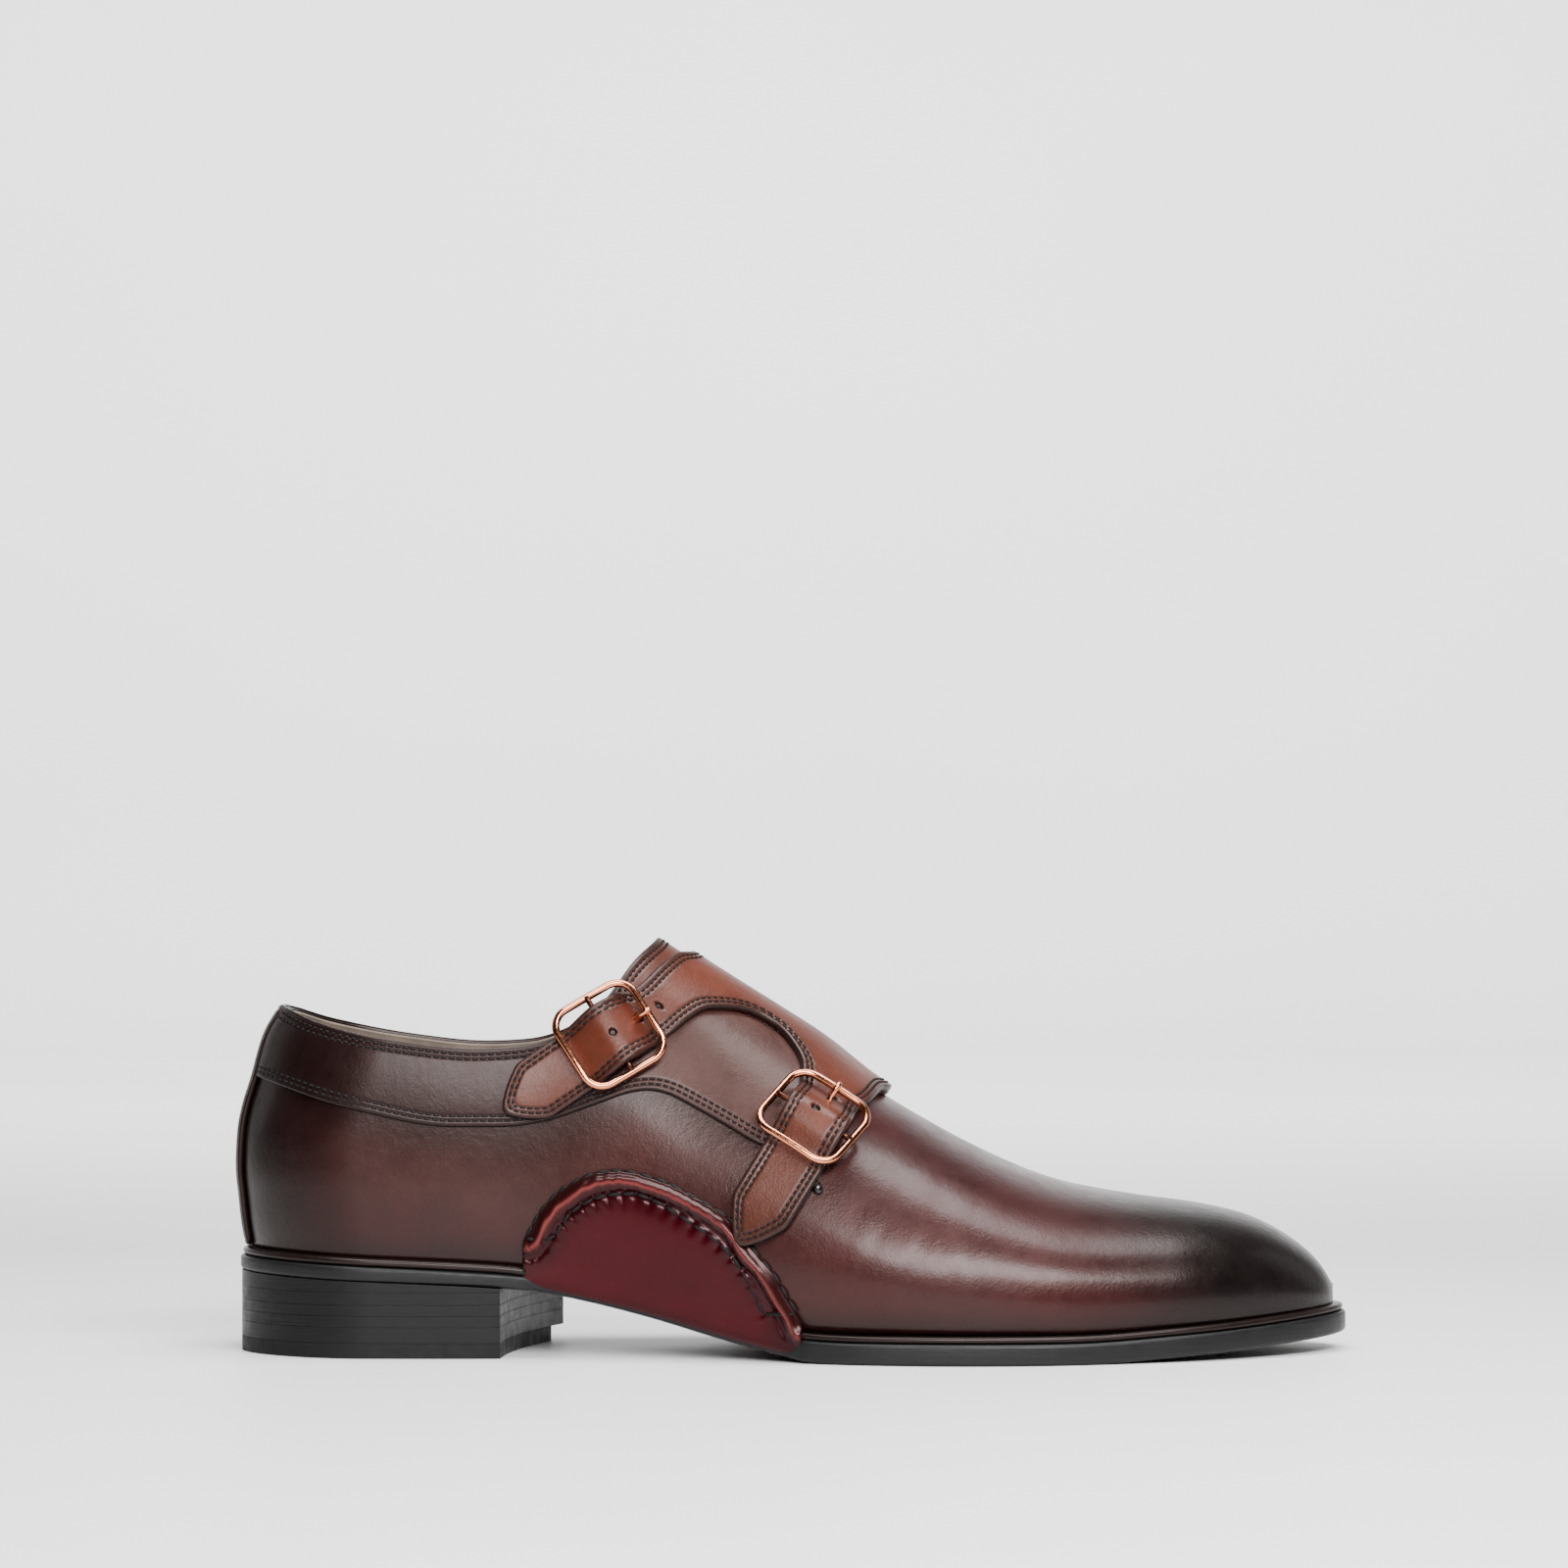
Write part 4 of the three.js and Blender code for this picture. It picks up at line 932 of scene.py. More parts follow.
lateralEdge = resample(np.concatenate((
    sidePoints(flapRear, 12), strapLine(straps["rear"]), sidePoints(flapNotch, 40),
    strapLine(straps["front"]), sidePoints(flapFront, 8),
)), 0.5, closed=False)
flapPlane = np.concatenate((
    [(flapRidge["rear"], 0)], toGirth(lateralEdge, -1), [(flapRidge["front"], 0)],
    toGirth(resample(sidePoints(flapMedial, 60), 0.5, closed=False), 1),
))
flapOutline = resample(flapPlane, 0.5)
overRidge = np.exp(-(flapOutline[:, 1:] / 11) ** 2)  # the edges round off over the ridge
flapOutline = soften(flapOutline, 2) * (1 - overRidge) + soften(flapOutline, 11) * overRidge
flapOutline = resample(flapOutline, 0.5)


def findFace(at, high):
    x, z = at * shoe["length"], high * shoe["instep"]
    girth = girthOf(np.array([x]), np.array([z]), -1)
    return girthPlace(np.array([x]), girth)[0], girthNormal(np.array([x]), girth)[0]


bucklePiece = {
    "rear": {"at": 0.3385, "high": 0.768, "slope": 33.4},
    "front": {"at": 0.5165, "high": 0.561, "slope": 58},
    "level": 5.0, "long": 26, "wide": 26.5, "corner": 6.5, "wire": 2.1, "bar": 1.6, "play": 0.3,
}
buckleAt = {}
for name in ("rear", "front"):
    spot = bucklePiece[name]
    point, normal = findFace(spot["at"], spot["high"])
    angle = math.radians(spot["slope"])
    along = np.array((math.cos(angle), 0, math.sin(angle)))
    along = unit(along - normal * (along @ normal))
    buckleAt[name] = {"face": point, "normal": normal, "along": along, "across": np.cross(normal, along),
                      "middle": point + normal * bucklePiece["level"]}

humpReach, strapThick = 10.5, 1.8


# A strap's level where it rises over the buckle bars
def strapLevel(point, normal, flat, thick):
    level = np.array(flat, float)
    for spot in buckleAt.values():
        ray = point - spot["face"]
        run = ray @ spot["along"]
        off = np.linalg.norm(ray - run[:, None] * spot["along"], axis=1)
        above = (point - spot["middle"]) @ spot["normal"]
        lift = bucklePiece["bar"] / 2 + bucklePiece["play"] + thick - above
        over = lift / np.maximum(normal @ spot["normal"], 0.3)
        share = np.cos(np.clip(run / humpReach, -1, 1) * math.pi / 2) ** 2 * (off < strapWidth * 0.75)
        level = level * (1 - share) + over * share
    return level


flapPiece = {"over": 3.4, "under": 0.4, "onPanel": 1.45, "radius": 0.75, "rows": (1.5, 2.65), "cell": 1.0,
             "burnish": 0.75, "holeDeep": 1.1,
             "holes": (("rear", 0.6, -0.7), ("rear", 14.8, 0.2), ("rear", 8.7, 0.0), ("front", 0.6, 0.4),
                       ("front", 9.0, 0.0))}
strapHoles = []
for name, along, across in flapPiece["holes"]:
    spot = buckleAt[name]["face"] + buckleAt[name]["along"] * along + buckleAt[name]["across"] * across
    x = np.array([spot[0] + shoe["heelCentre"]])
    strapHoles.append((float(x[0]), float(girthOf(x, np.array([spot[2]]), -1)[0]), 3.0))
flapPiece["fine"] = strapHoles


def holeNear(x, girth):
    return np.min([np.hypot(x - u, girth - v) for u, v, _ in strapHoles], axis=0)


def onFlap(x, girth, level):
    base, normal = girthPlace(x, girth), girthNormal(x, girth)
    return base + normal * level[..., None]


def panelUnder(x, girth):
    point = girthPlace(x, girth)
    side = np.where(girth < 0, -1.0, 1.0)
    xs, z = point[:, 0] + shoe["heelCentre"], point[:, 2]
    return outlineDistance(np.stack((collarU(xs, z, side), z), 1), collarOutline)[0]


def flapBottom(x, girth):
    inside = smoothstep(-0.6, 0.2, panelUnder(x, girth))
    flat = flapPiece["under"] + (flapPiece["onPanel"] - flapPiece["under"]) * inside
    point, normal = girthPlace(x, girth), girthNormal(x, girth)
    return np.maximum(flat, strapLevel(point, normal, flat, 0.0))


def flapDye(points, distance, u, v):
    x, z = points[:, 0] + shoe["heelCentre"], points[:, 2]
    colour = np.tile(palette["flap"], (len(points), 1))
    colour = mixColour(colour, palette["flapDark"], np.exp(-(distance / 3.4) ** 4) * 0.5)
    colour = mixColour(colour, palette["flapDark"], smoothstep(60, 36, z) * smoothstep(130, 140, x) * 0.3)
    # painted shade: the strap holes are shallow dimples, darkened to stand for the shade inside them
    return mixColour(colour, palette["edge"], smoothstep(1.25, 0.9, holeNear(u, v)))


def flapRise(x, girth, distance):
    point, normal = girthPlace(x, girth), girthNormal(x, girth)
    flat = np.full(len(x), flapPiece["over"])
    dimple = flapPiece["holeDeep"] * smoothstep(1.2, 0.75, holeNear(x, girth))
    return strapLevel(point, normal, flat, strapThick) - flapPiece["over"] - dimple


overlay("strap_flap", flapOutline, flapPiece, onFlap, flapDye, flapCalf, ("strap_flap",), flapBottom,
        flapRise)


# The tongue shows behind the flap, both sides in one sheet
tonguePiece = {"tip": 149.5, "over": 1.15, "under": 0.15, "radius": 0.5, "rows": (1.5, 2.65), "cell": 1.2}
tongueLow = table(
    "at high", (0.3, 0.755), (0.335, 0.735), (0.38, 0.745), (0.43, 0.765), (0.47, 0.775), (0.49, 0.77),
)
tongueTurn = np.linspace(topEndTurn, throatTurn, 120)
tongueRear = facePoint(tongueTurn, np.interp(tongueTurn, turnGrid, topUp) / 2) + (shoe["heelCentre"], 0, 0)
tongueHalf = np.concatenate((
    [(tonguePiece["tip"], 0)], toGirth(sidePoints(tongueLow, 60)[::-1], -1),
    toGirth(tongueRear[:-1, (0, 2)], -1), [(throatX, 0)],
))
tongueMirror = (tongueHalf * (1, -1))[::-1][1:-1]
tongueOutline = soften(resample(np.concatenate((tongueHalf, tongueMirror)), 0.5), 2)


def tongueDye(points, distance, u, v):
    colour = np.tile(palette["flap"] * 0.8, (len(points), 1))
    return mixColour(colour, palette["flapDark"], np.exp(-(distance / 2.6) ** 2) * 0.7)


overlay("tongue", tongueOutline, tonguePiece, onFlap, tongueDye, flapCalf, ("tongue",))
print("flap and tongue ready")


# The red waist covers: x, and the way down the side, round the sole's edge and under it
waistPiece = {"over": 1.5, "under": 0.25, "radius": 0.9, "cell": 0.8, "burnish": 0.5,
              "rings": (8.6, 8.1, 7.6, 7.1, 6.6, 6.2, 5.8, 5.4, 5.0, 4.6, 4.2, 3.8, 3.4, 3.1, 2.8, 2.4, 2.0,
                        1.6, 1.2, 0.85, 0.5, 0.25, 0.1, 0.0),
              "ridge": (1.35, 2.5, 1.35), "inner": (0.65, 5.5, 0.8), "outer": (0.3, 0.9, 0.5),
              "pleatDeep": 0.5, "pleatHalf": 0.75, "pleatIn": 2.6, "pleatOut": 1.0}
# The way down the side: shares up the side, then clear of the edge, round it and under the sole
waistPath = {"first": 0.62, "last": 0.03, "clear": 1.5, "edgeRound": (2.2, 0.7), "middle": 12}
seamEnds = (80.0, 27.0), (155.6, 9.5)  # x and height where the seam meets the sole
heelCorner = (77.5, -6.0), (79.6, -3.0)  # x and way down, beside the heel
waistX = np.arange(70.0, 168.0, 1.0)
waistSteps = 160  # along each way down the side
waistWay = {}
for side in (-1, 1):
    ways = []
    for x in waistX:
        ups = np.linspace(waistPath["first"], waistPath["last"], 50)
        high = sectionPoint(np.full(50, x), ups, side)[:, 1:]
        foot = sectionPoint(np.array([x]), np.array([0.0]), side)[0, 1:]
        out = abs(foot[0]) + float(soleOut(x / shoe["length"])) - waistPiece["over"]
        low, top = float(soleLow(x)) + waistPiece["over"], float(soleTop(x))
        far, near = waistPath["edgeRound"]
        tail = np.array([(side * out, top), (side * out, low + far), (side * (out - near), low + near),
                         (side * (out - far), low), (side * waistPath["middle"], low), (0, low)])
        way = evenLine(np.concatenate((high[high[:, 1] > foot[1] + waistPath["clear"]], tail)), 4)
        run = runAlong(way)
        footRun = run[int(np.argmin(np.hypot(*(way - foot).T)))]
        at = np.linspace(0, 1, waistSteps + 1)
        ways.append((readLine(at * run[-1], run, way), footRun, run[-1]))
    waistWay[side] = tuple(np.array(column) for column in zip(*ways))


def waistPoint(side, x, q):
    way, foot, total = waistWay[side]
    share = (np.interp(x, waistX, foot) - q) / np.interp(x, waistX, total)
    y, z = (readTable(way[..., k], x - waistX[0], share) for k in range(2))
    return np.stack((x - shoe["heelCentre"], y, z), 1)


def onWaist(side):
    def place(x, q, level):
        base = waistPoint(side, x, q)
        along = waistPoint(side, x + 0.6, q) - waistPoint(side, x - 0.6, q)
        across = waistPoint(side, x, q + 0.6) - waistPoint(side, x, q - 0.6)
        normal = unit(np.cross(along, across)) * (1 if side < 0 else -1)
        return base + normal * level[:, None]
    return place


def waistQ(side, points):
    way, foot, total = waistWay[side]
    out = []
    for x, z in points:
        i = int(round(x - waistX[0]))
        line = way[i][:100]
        j = int(np.argmin(np.abs(line[:, 1] - z)))
        out.append((x, foot[i] - total[i] * j / waistSteps))
    return np.array(out)


cordStep = {"outer": 4.1, "inner": 4.0}
cordRows = {
    "outer": table("at high", (0.265, 0.274), (0.273, 0.338), (0.286, 0.384), (0.305, 0.424), (0.326, 0.45),
                   (0.351, 0.456), (0.376, 0.439), (0.401, 0.414), (0.426, 0.377), (0.447, 0.342),
                   (0.468, 0.263), (0.483, 0.224), (0.495, 0.166), (0.506, 0.122)),
    "inner": table("at high", (0.281, 0.233), (0.288, 0.275), (0.298, 0.333), (0.315, 0.373), (0.334, 0.396),
                   (0.359, 0.402), (0.382, 0.382), (0.405, 0.346), (0.426, 0.307), (0.447, 0.262),
                   (0.464, 0.189), (0.476, 0.121)),
}


for side, name in ((-1, "waist_lateral"), (1, "waist_medial")):
    seam = np.concatenate((seamEnds[:1], sidePoints(cordRows["outer"], 80), seamEnds[1:]))
    seam = evenLine(waistQ(side, evenLine(seam, 3)), 3)
    foot = waistWay[side][1] - waistWay[side][2]  # where the cover ends, under the sole
    xs = np.linspace(seam[-1, 0], heelCorner[0][0], 60)
    lowEdge = np.stack((xs, np.interp(xs, waistX, foot)), 1)
    outline = np.concatenate((seam, lowEdge, heelCorner))
    outline = soften(resample(outline, 0.5), 2)
    holes = marksAlong(evenLine(waistQ(side, sidePoints(cordRows["inner"], 80)), 2), cordStep["inner"])

    def fromSeam(u, v, seam=seam):
        tree = KDTree(len(seam))
        for i, (a, b) in enumerate(seam):
            tree.insert((a, b, 0), i)
        tree.balance()
        return np.array([tree.find((a, b, 0))[2] for a, b in zip(u, v)])

    def pleats(u, v, holes=holes):
        depth = np.zeros(len(u))
        way = unit(np.gradient(holes, axis=0))
        for (a, b), (du, dv) in zip(holes, way):
            along = (u - a) * du + (v - b) * dv
            inward = ((u - a) * dv - (v - b) * du) * (-1 if du < 0 else 1)
            reach = np.where(inward > 0, waistPiece["pleatIn"], waistPiece["pleatOut"])
            fall = np.exp(-(along / waistPiece["pleatHalf"]) ** 2 - (inward / reach) ** 2)
            depth += waistPiece["pleatDeep"] * fall
        return depth

    def waistRise(u, v, distance):
        away = fromSeam(u, v)
        high, at, wide = waistPiece["ridge"]
        rise = high * np.exp(-((away - at) / wide) ** 2)
        for deep, at, wide in (waistPiece["inner"], waistPiece["outer"]):
            rise -= deep * np.exp(-((away - at) / wide) ** 2)
        return rise - pleats(u, v)

    def waistDye(points, distance, u, v):
        away = fromSeam(u, v)
        colour = np.tile(palette["red"], (len(points), 1))
        colour = mixColour(colour, palette["redDark"], smoothstep(12, 5, away) * 0.7)
        colour = mixColour(colour, palette["lowQuarter"], smoothstep(5.2, 3.6, away))
        colour = mixColour(colour, palette["redRidge"], np.exp(-((away - 2.9) / 0.45) ** 2) * 0.8)
        colour = mixColour(colour, palette["lowQuarter"] * 0.7, smoothstep(2.4, 1.2, away))
        overSole = points[:, 2] - soleLow(points[:, 0] + shoe["heelCentre"])
        return mixColour(colour, palette["redDark"], smoothstep(1.5, -1, overSole))

    overlay(name, outline, waistPiece, onWaist(side), waistDye, waistCalf,
                          ("outsole",) if side < 0 else (), extra=waistRise)
print("waist ready")


# Sole, welt, rand and heel are drawn in plan
def planEdge(out, side, count, first=0.0, last=306.0):  # as a whole it runs past the toe
    start = float(backIn(0.0)) * shoe["backIn"] - float(out(0.0))
    end = shoe["toeTip"] + float(out(1.0))
    turn = np.linspace(0, math.pi, count)
    x = start + (end - start) * (1 - np.cos(turn)) / 2
    x = x[(x >= first - 1e-6) & (x <= last + 1e-6)]
    at = x / shoe["length"]
    y = axisShift(at) * shoe["ball"] + side * halfWidth(side, x, out(at), start, end)
    return np.stack((x, y), 1)


def flatAt(z):
    return lambda x: np.full(np.shape(x), float(z))


def slab(name, outline, low, high, material, nodes=(), cell=3.0, radius=0.5, rings=None, crisp=False):
    steps = rings or (4.0, 2.4, 1.5, 0.9, 0.5, 0.2, 0.06, 0.0)
    bm = sheetSolid(cutSheet(outline, cell, steps))
    spots = readPoints(bm)
    x, y, lower = spots[:, 0], spots[:, 1], spots[:, 2] < -0.5
    distance = np.abs(outlineDistance(spots[:, :2], outline)[0])
    drop = edgeDrop(distance, radius)
    z = np.where(lower, low(x) + drop, high(x) - drop)
    placePoints(bm, np.stack((x - shoe["heelCentre"], y, z), 1))
    faceOutward(bm)
    piece = newPiece(name, bm, material, nodes)
    if crisp:
        piece.data.set_sharp_from_angle(angle=math.radians(30))
    return piece


def closedPlan(out):
    return resample(np.concatenate((planEdge(out, -1, 400), planEdge(out, 1, 400)[::-1])), 0.6)


outsolePiece = {"waistIn": 1.9, "waistUp": 0.5, "cell": 2.0, "radius": 1.1}  # slimmer under the red covers
insolePiece = {"in": 2.9, "under": 1.5, "over": 1.2, "radius": 0.5}


def outsoleOut(at):
    return soleOut(at) - outsolePiece["waistIn"] * smoothstep(0.262, 0.28, at) * smoothstep(0.515, 0.49, at)


def outsoleLow(x):
    return soleLow(x) + outsolePiece["waistUp"] * smoothstep(79, 84, x) * smoothstep(156, 150, x)


outsole = slab("outsole_base", soften(closedPlan(outsoleOut), 3), outsoleLow, soleTop, soleFinish,
               cell=outsolePiece["cell"], radius=outsolePiece["radius"])
slab("insole", soften(closedPlan(flatAt(-insolePiece["in"])), 2),
     lambda x: lowerEdge(x) - insolePiece["under"], lambda x: lowerEdge(x) + insolePiece["over"],
     insoleSkin, ("insole",), radius=insolePiece["radius"])


# A strip with one section carried along a line in plan
def stripAlong(name, line, section, base, material, nodes=()):
    count = len(line)
    tangent = unit(np.gradient(line, axis=0))
    outward = np.stack((tangent[:, 1], -tangent[:, 0]), 1)
    if (outward[count // 2] @ (line[count // 2] - (150, 0))) < 0:
        outward = -outward
    sides = len(section)
    bm = bmesh.new()
    bmesh.ops.create_circle(bm, cap_ends=True, segments=sides, radius=1)
    rings = [list(bm.verts)]
    face = bm.faces[:]
    for i in range(count - 1):
        made = bmesh.ops.extrude_face_region(bm, geom=face)["geom"]
        if i > 0:  # the first face closes the strip's start
            bmesh.ops.delete(bm, geom=face, context="FACES_ONLY")
        face = [f for f in made if isinstance(f, bmesh.types.BMFace)]
        fresh = [v for v in made if isinstance(v, bmesh.types.BMVert)]
        order = {}
        for v in fresh:
            for e in v.link_edges:
                other = e.other_vert(v)
                if other in rings[-1]:
                    order[rings[-1].index(other)] = v
        rings.append([order[k] for k in range(sides)])
    for i, ring in enumerate(rings):
        for v, (o, h) in zip(ring, section):
            x, y = line[i] + outward[i] * o
            v.co = Vector((x - shoe["heelCentre"], y, base(line[i][0]) + h)) * mm
    faceOutward(bm)
    return newPiece(name, bm, material, nodes)


def ellipseSection(wide, high, middle, power, sides=14):
    out = []
    for k in range(sides):
        a = 2 * math.pi * k / sides
        c, s = math.cos(a), math.sin(a)
        out.append((middle[0] + wide / 2 * math.copysign(abs(c) ** power, c),
                    middle[1] + high / 2 * math.copysign(abs(s) ** power, s)))
    return out


randPiece = {"wide": 5.2, "high": 2.5, "middle": (-0.2, 1.2), "power": 0.85}
randLateral, randMedial = (planEdge(flatAt(0), side, 500, last=shoe["randEnd"]) for side in (-1, 1))
randPath = resample(np.concatenate((randLateral[::-1], randMedial[1:])), 1.6, closed=False)
stripAlong("heel_rand", randPath, ellipseSection(**randPiece), soleTop, weltFinish, ("heel_rand",))
weltPiece = {"wide": 6.4, "high": 2.0, "middle": (-3.2, 1.0), "power": 0.55}
weltIn = 0.9  # from the sole's edge
weltLateral, weltMedial = (planEdge(lambda at: soleOut(at) - weltIn, side, 700, shoe["weltEnd"])
                           for side in (-1, 1))
weltPath = resample(np.concatenate((weltLateral, weltMedial[::-1][1:])), 1.6, closed=False)
stripAlong("welt", weltPath, ellipseSection(**weltPiece), soleTop, weltFinish, ("welt",))
print("sole ready")


heelPiece = {"out": 2.7, "breast": 78.6, "turn": 0.235, "hollow": 170, "cornerRound": 11, "corner": (9, 35)}
heelStyle = {"cell": 1.6, "radius": 0.07, "rings": (3.0, 1.4, 0.6, 0.3, 0.12, 0.05, 0.0), "crisp": True}


def breastAt(y):
    return heelPiece["breast"] + y * y / (2 * heelPiece["hollow"]) + y * math.tan(heelPiece["turn"])


def heelOutline(cut):
    sides = []
    for side in (-1, 1):
        edge = planEdge(flatAt(heelPiece["out"]), side, 900, 0, 110)
        sides.append(edge[edge[:, 0] < breastAt(edge[:, 1])])
    ys = np.linspace(sides[1][-1, 1], sides[0][-1, 1], 60)
    breast = np.stack((breastAt(ys), ys), 1)
    line = resample(np.concatenate((sides[0][::-1], sides[1], breast)), 0.5)
    if cut:
        middle = np.array((heelPiece["breast"], 0)) + heelPiece["corner"]
        inside = np.hypot(*(line - middle).T) < heelPiece["cornerRound"]
        start = int(np.argmax(inside & ~np.roll(inside, 1)))
        line, inside = np.roll(line, -start, 0), np.roll(inside, -start)
        kept = line[~inside]
        ends = [math.atan2(*(spot - middle)[::-1]) % (2 * math.pi) for spot in (kept[-1], kept[0])]
        angles = np.linspace(*ends, 24)
        arc = middle + heelPiece["cornerRound"] * np.stack((np.cos(angles), np.sin(angles)), 1)
        line = np.concatenate((kept, arc))
    return soften(resample(line, 0.5), 1)


heelLayers = (  # name, low and high face, with the corner cut or not, finish
    ("heel_top_piece", 0.0, 4.13, True, rubberFinish), ("heel_lift_1", 4.18, 8.38, False, heelFinish),
    ("heel_lift_2a", 8.43, 11.38, False, heelFinish), ("heel_lift_2b", 11.43, 14.38, False, heelFinish),
    ("heel_lift_3a", 14.43, 17.83, False, heelFinish),
)
heelNodes = {
    "heel_top_piece": ("heel_top_piece",), "heel_lift_1": ("heel_lift_1",), "heel_lift_2a": ("heel_lift_2",),
}
for name, low, high, cut, material in heelLayers:
    layer = slab(name, heelOutline(cut), flatAt(low), flatAt(high), material, heelNodes.get(name, ()),
                 **heelStyle)
slab("heel_lift_3b", heelOutline(False), flatAt(17.88), lambda x: np.maximum(soleLow(x) - 0.1, 18.1),
     heelFinish, ("heel_lift_3",), **heelStyle)  # its top follows the sole
print("heel ready")


# The backstay covers the seam at the back
stayPiece = {"half": 6.3, "foot": 29.2, "over": 1.75, "under": 0.2, "radius": 0.6, "cell": 1.2,
             "burnish": 0.9, "rows": (1.4,),
             "rings": (2.6, 2.2, 1.8, 1.55, 1.4, 1.25, 1.0, 0.75, 0.5, 0.25, 0.1, 0.0)}
stayTop = float(topPoints[0, 2]) - 0.3
wide, foot = stayPiece["half"], stayPiece["foot"]
stayOutline = resample(np.array([(-wide, foot), (wide, foot), (wide, stayTop), (-wide, stayTop)]), 0.5)
overlay("backstay", stayOutline, stayPiece, onCollar,
        lambda points, *rest: np.tile(palette["heel"], (len(points), 1)), panelCalf, ("backstay",))
print("backstay ready")


# Each stitch is one small bead, laid between two marks of a seam
def stitchPiece(name, seams, material, long=0.76, wide=0.36, high=0.28):
    seed = bmesh.new()
    bmesh.ops.create_uvsphere(seed, u_segments=7, v_segments=5, radius=1)
    seedMesh = bpy.data.meshes.new("seed")  # by way of a mesh, so that copies keep one order
    seed.to_mesh(seedMesh)
    seed.free()
    bm = bmesh.new()
    bm.from_mesh(seedMesh)
    bpy.data.meshes.remove(seedMesh)
    shape = readPoints(bm)[:, (2, 0, 1)]
    spots = []
    for ends, place, level in seams:
        at = place(ends[:, 0], ends[:, 1], np.full(len(ends), level))
        above = place(ends[:, 0], ends[:, 1], np.full(len(ends), level + 0.5))
        along, rise = at[1:] - at[:-1], (above - at)[1:] + (above - at)[:-1]
        length = np.linalg.norm(along, axis=1, keepdims=True)
        along = unit(along)
        rise = unit(rise - along * (rise * along).sum(1, keepdims=True))
        sideways = np.cross(rise, along)
        spot = (((at[1:] + at[:-1]) / 2)[:, None] + shape[:, 0, None] * (along * length)[:, None] * long / 2
                + shape[:, 1, None] * sideways[:, None] * wide + shape[:, 2, None] * rise[:, None] * high)
        spots.append(spot[(length[:, 0] > 0.2) & (length[:, 0] < 12)])
    spots = np.concatenate(spots)
    while len(bm.verts) < spots.shape[0] * len(shape):  # doubled until there are enough
        bmesh.ops.duplicate(bm, geom=bm.verts[:] + bm.edges[:] + bm.faces[:])
    bm.verts.ensure_lookup_table()
    bmesh.ops.delete(bm, geom=bm.verts[spots.shape[0] * len(shape):], context="VERTS")
    placePoints(bm, spots.reshape(-1, 3))
    piece = newPiece(name, bm, material)
    return piece


def insetLine(outline, inset):
    step = np.roll(outline, -1, 0) - np.roll(outline, 1, 0)
    turned = unit(np.stack((-step[:, 1], step[:, 0]), 1))
    probe = outlineDistance(outline + turned * 0.5, outline)[0]
    turned = turned * np.where(probe > 0, 1.0, -1.0)[:, None]
    line = outline + turned * inset
    distance = outlineDistance(line, outline)[0]
    return line[distance > inset * 0.93]


def seamMarks(outline, inset, step, keep=None):
    line = insetLine(outline, inset)
    if keep is not None:
        line = line[keep(line)]
    gaps = np.linalg.norm(np.diff(line, axis=0), axis=1)
    cuts = np.nonzero(gaps > 3)[0] + 1
    runs = [r for r in np.split(line, cuts) if len(r) > 8]
    return [marksAlong(r, step) for r in runs]


def onFlapTop(x, girth, level):
    return onFlap(x, girth, level + flapRise(x, girth, None))


collarSeams, flapSeams = [], []
for row in collarPiece["rows"]:  # none under the backstay
    for marks in seamMarks(collarOutline, row, seamRow["stitch"], lambda l: np.abs(l[:, 0]) > 7.5):
        collarSeams.append((marks, onCollar, collarPiece["over"] + 0.02))
for row in flapPiece["rows"]:
    for marks in seamMarks(flapOutline, row, seamRow["stitch"]):
        flapSeams.append((marks, onFlapTop, flapPiece["over"] + 0.02))
for row in tonguePiece["rows"]:  # only where the tongue shows
    for marks in seamMarks(tongueOutline, row, seamRow["stitch"],
                           lambda l: (l[:, 0] < 128) & (panelUnder(l[:, 0], l[:, 1]) < -0.6)):
        flapSeams.append((marks, onFlap, tonguePiece["over"] + 0.02))
stitchPiece("collar_stitches", collarSeams, threadPanel)
stitchPiece("flap_stitches", flapSeams, threadDark)
tabX, tabHigh = np.array([158.2, 160.3]), np.array([48.6, 45.0])  # below the front buckle
tabEnds = np.stack((tabX, girthOf(tabX, tabHigh, -1)), 1)
stitchPiece("tab_end", [(tabEnds, onFlap, 0.9)], tabLeather, long=1.0, wide=1.5,
            high=1.1)
print("stitches ready")

cordSeams = []
for side in (-1, 1):
    place = onWaist(side)
    lines = {}
    for key, level in (("outer", 0.75), ("inner", 1.15)):
        lines[key] = evenLine(waistQ(side, sidePoints(cordRows[key], 80)), 2)
        cordSeams.append((marksAlong(lines[key], cordStep[key]), place, level))
    for end in (0, -1):  # thread tied across the ridge at each end
        cordSeams.append((np.array([lines["outer"][end], lines["inner"][end]]), place, 1.9))
stitchPiece("waist_cords", cordSeams, cordDark, long=0.94, wide=0.6, high=0.55)
print("cords ready")


# Buckle wires are round curves made into meshes
def wirePiece(name, paths, material, nodes):
    curve = bpy.data.curves.new(name + "Curve", "CURVE")
    curve.dimensions = "3D"
    curve.bevel_depth = mm
    curve.bevel_resolution = 5
    curve.use_fill_caps = True
    for points, radii, closed in paths:
        spline = curve.splines.new("POLY")
        spline.points.add(len(points) - 1)
        for slot, p, r in zip(spline.points, points, radii):
            slot.co = (*(p * mm), 1)
            slot.radius = r
        spline.use_cyclic_u = closed
    holder = bpy.data.objects.new(name + "Curve", curve)
    bpy.context.scene.collection.objects.link(holder)
    mesh = holder.to_mesh()
    bm = bmesh.new()
    bm.from_mesh(mesh)
    holder.to_mesh_clear()
    bpy.data.objects.remove(holder)
    bmesh.ops.remove_doubles(bm, verts=bm.verts[:], dist=1e-6)
    faceOutward(bm)
    return newPiece(name, bm, material, nodes)


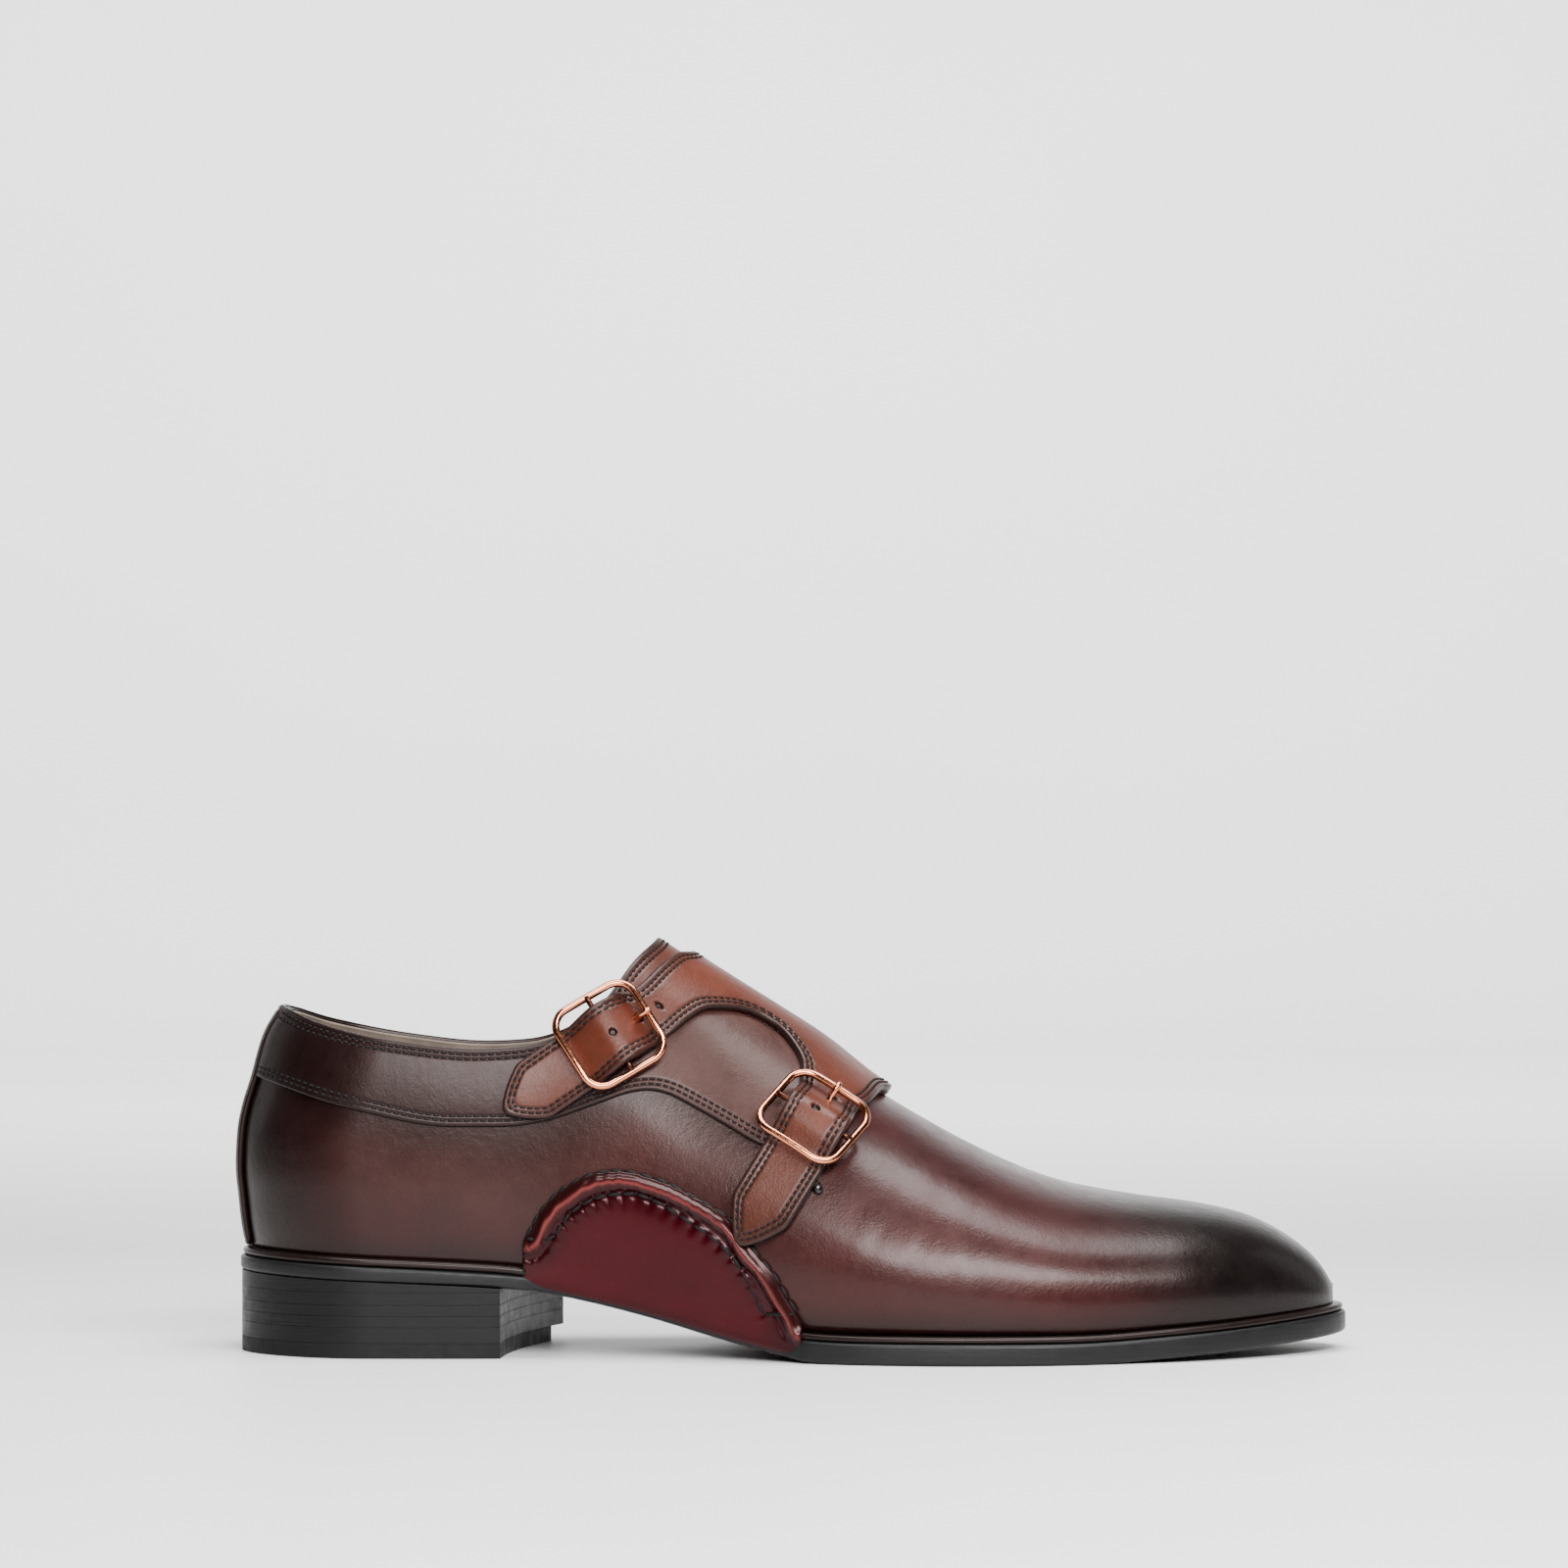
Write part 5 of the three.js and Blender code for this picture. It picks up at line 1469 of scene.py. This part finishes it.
def roundRect(long, wide, corner, count=10):
    points = []
    for cx, cy, start in ((1, -1, -90), (1, 1, 0), (-1, 1, 90), (-1, -1, 180)):
        for k in range(count + 1):
            a = math.radians(start + 90 * k / count)
            points.append((cx * (long / 2 - corner) + corner * math.cos(a),
                           cy * (wide / 2 - corner) + corner * math.sin(a)))
    return np.array(points)


prongPath = np.array([(0.9, -0.6), (3.0, -1.2), (5.6, -1.9), (7.6, -2.0), (8.9, -0.7), (10.4, 1.3),
                      (11.7, 1.95), (12.8, 1.6)])  # under the strap, up through its hole and over the frame
for name, spot in buckleAt.items():
    b = bucklePiece

    def local(u, v, w, spot=spot):
        return (spot["middle"] + np.multiply.outer(u, spot["along"]) + np.multiply.outer(v, spot["across"])
                + np.multiply.outer(w, spot["normal"]))

    ring = roundRect(b["long"] - b["wire"], b["wide"] - b["wire"], b["corner"] - b["wire"] / 2)
    ring = resample(ring, 0.8)
    frameRing = local(ring[:, 0], ring[:, 1], -0.012 * ring[:, 1] ** 2 * 0.35)  # bowed with the strap
    barV = np.linspace(-1, 1, 12) * (b["wide"] - b["wire"]) / 2
    bar = local(np.zeros(12), barV, -0.1 * np.ones(12))
    wirePiece("buckle_frame_" + name, [(frameRing, np.full(len(ring), b["wire"] / 2), True)], roseGold,
              ("buckle_frame_" + name,))
    # the bar's darker metal is painted shade
    wirePiece("buckle_bar_" + name, [(bar, np.full(12, b["bar"] / 2), False)], barShadeMetal, ())
    path = evenLine(prongPath, 2)
    taper = np.interp(np.linspace(0, 1, len(path)), (0, 0.7, 0.93, 1), (0.95, 0.9, 0.85, 0.6))
    prong = local(path[:, 0], np.zeros(len(path)), path[:, 1])
    wirePiece("buckle_prong_" + name, [(prong, taper, False)], roseGold, ("buckle_prong_" + name,))
print("buckles ready")


# Floor with a backdrop, lights and camera
floorMaterial, tree, shader = nodeTree("paleFloor")
base = ramp(tree, noiseNode(tree, 2, 3), ((0.3, (0.7, 0.7, 0.7)), (0.7, (0.73, 0.73, 0.73))))
link(tree, base, shader.inputs["Base Color"])
shader.inputs["Roughness"].default_value = 0.5
floorBm = bmesh.new()
bmesh.ops.create_grid(floorBm, x_segments=24, y_segments=24, size=3.2)
for v in floorBm.verts:
    rise = max(v.co.y - 1.9, 0)  # the floor turns up into a backdrop
    v.co.z = 3.4 * (1 - math.cos(min(rise / 1.3, 1) * math.pi / 2)) if rise else 0
floorMesh = bpy.data.meshes.new("floor")
floorBm.to_mesh(floorMesh)
floorBm.free()
floorMesh.polygons.foreach_set("use_smooth", [True] * len(floorMesh.polygons))
floorMesh.materials.append(floorMaterial)
floor = bpy.data.objects.new("floor", floorMesh)
bpy.context.scene.collection.objects.link(floor)


def areaLight(name, place, aim, size, power, roll=0.0):
    light = bpy.data.lights.new(name, "AREA")
    light.shape = "RECTANGLE"
    light.size, light.size_y = size
    light.energy = power
    lamp = bpy.data.objects.new(name, light)
    bpy.context.scene.collection.objects.link(lamp)
    lamp.location = place
    facing = (Vector(aim) - Vector(place)).to_track_quat("-Z", "Y")
    lamp.rotation_euler = (facing @ Quaternion((0, 0, 1), math.radians(roll))).to_euler()


areaLight("key", (0.38, -1.0, 0.72), (0.12, 0.0, 0.03), (1.25, 0.32), 42, 26)
areaLight("overhead", (0.14, -0.05, 0.95), (0.12, 0.0, 0.03), (0.9, 0.4), 20)
areaLight("leftRim", (-1.0, 0.4, 0.5), (0.0, 0, 0.05), (0.4, 0.8), 1)
areaLight("rightRim", (1.2, 0.4, 0.5), (0.2, 0, 0.04), (0.4, 0.8), 1)
areaLight("backdropGlow", (0.1, 0.9, 1.3), (0.1, 2.6, 0.6), (3.0, 0.8), 130)
world = bpy.data.worlds.new("studio")
world.use_nodes = True
world.node_tree.nodes["Background"].inputs["Color"].default_value = (0.95, 0.97, 1.0, 1)
world.node_tree.nodes["Background"].inputs["Strength"].default_value = 0.04
bpy.context.scene.world = world

camera = bpy.data.objects.new("camera", bpy.data.cameras.new("camera"))
camera.data.lens = 146.25
camera.data.sensor_width = 36
camera.location = Vector((110, -1750, 155)) * mm
camera.rotation_euler = (math.pi / 2, 0, 0)
bpy.context.scene.collection.objects.link(camera)
bpy.context.scene.camera = camera

print("scene ready")
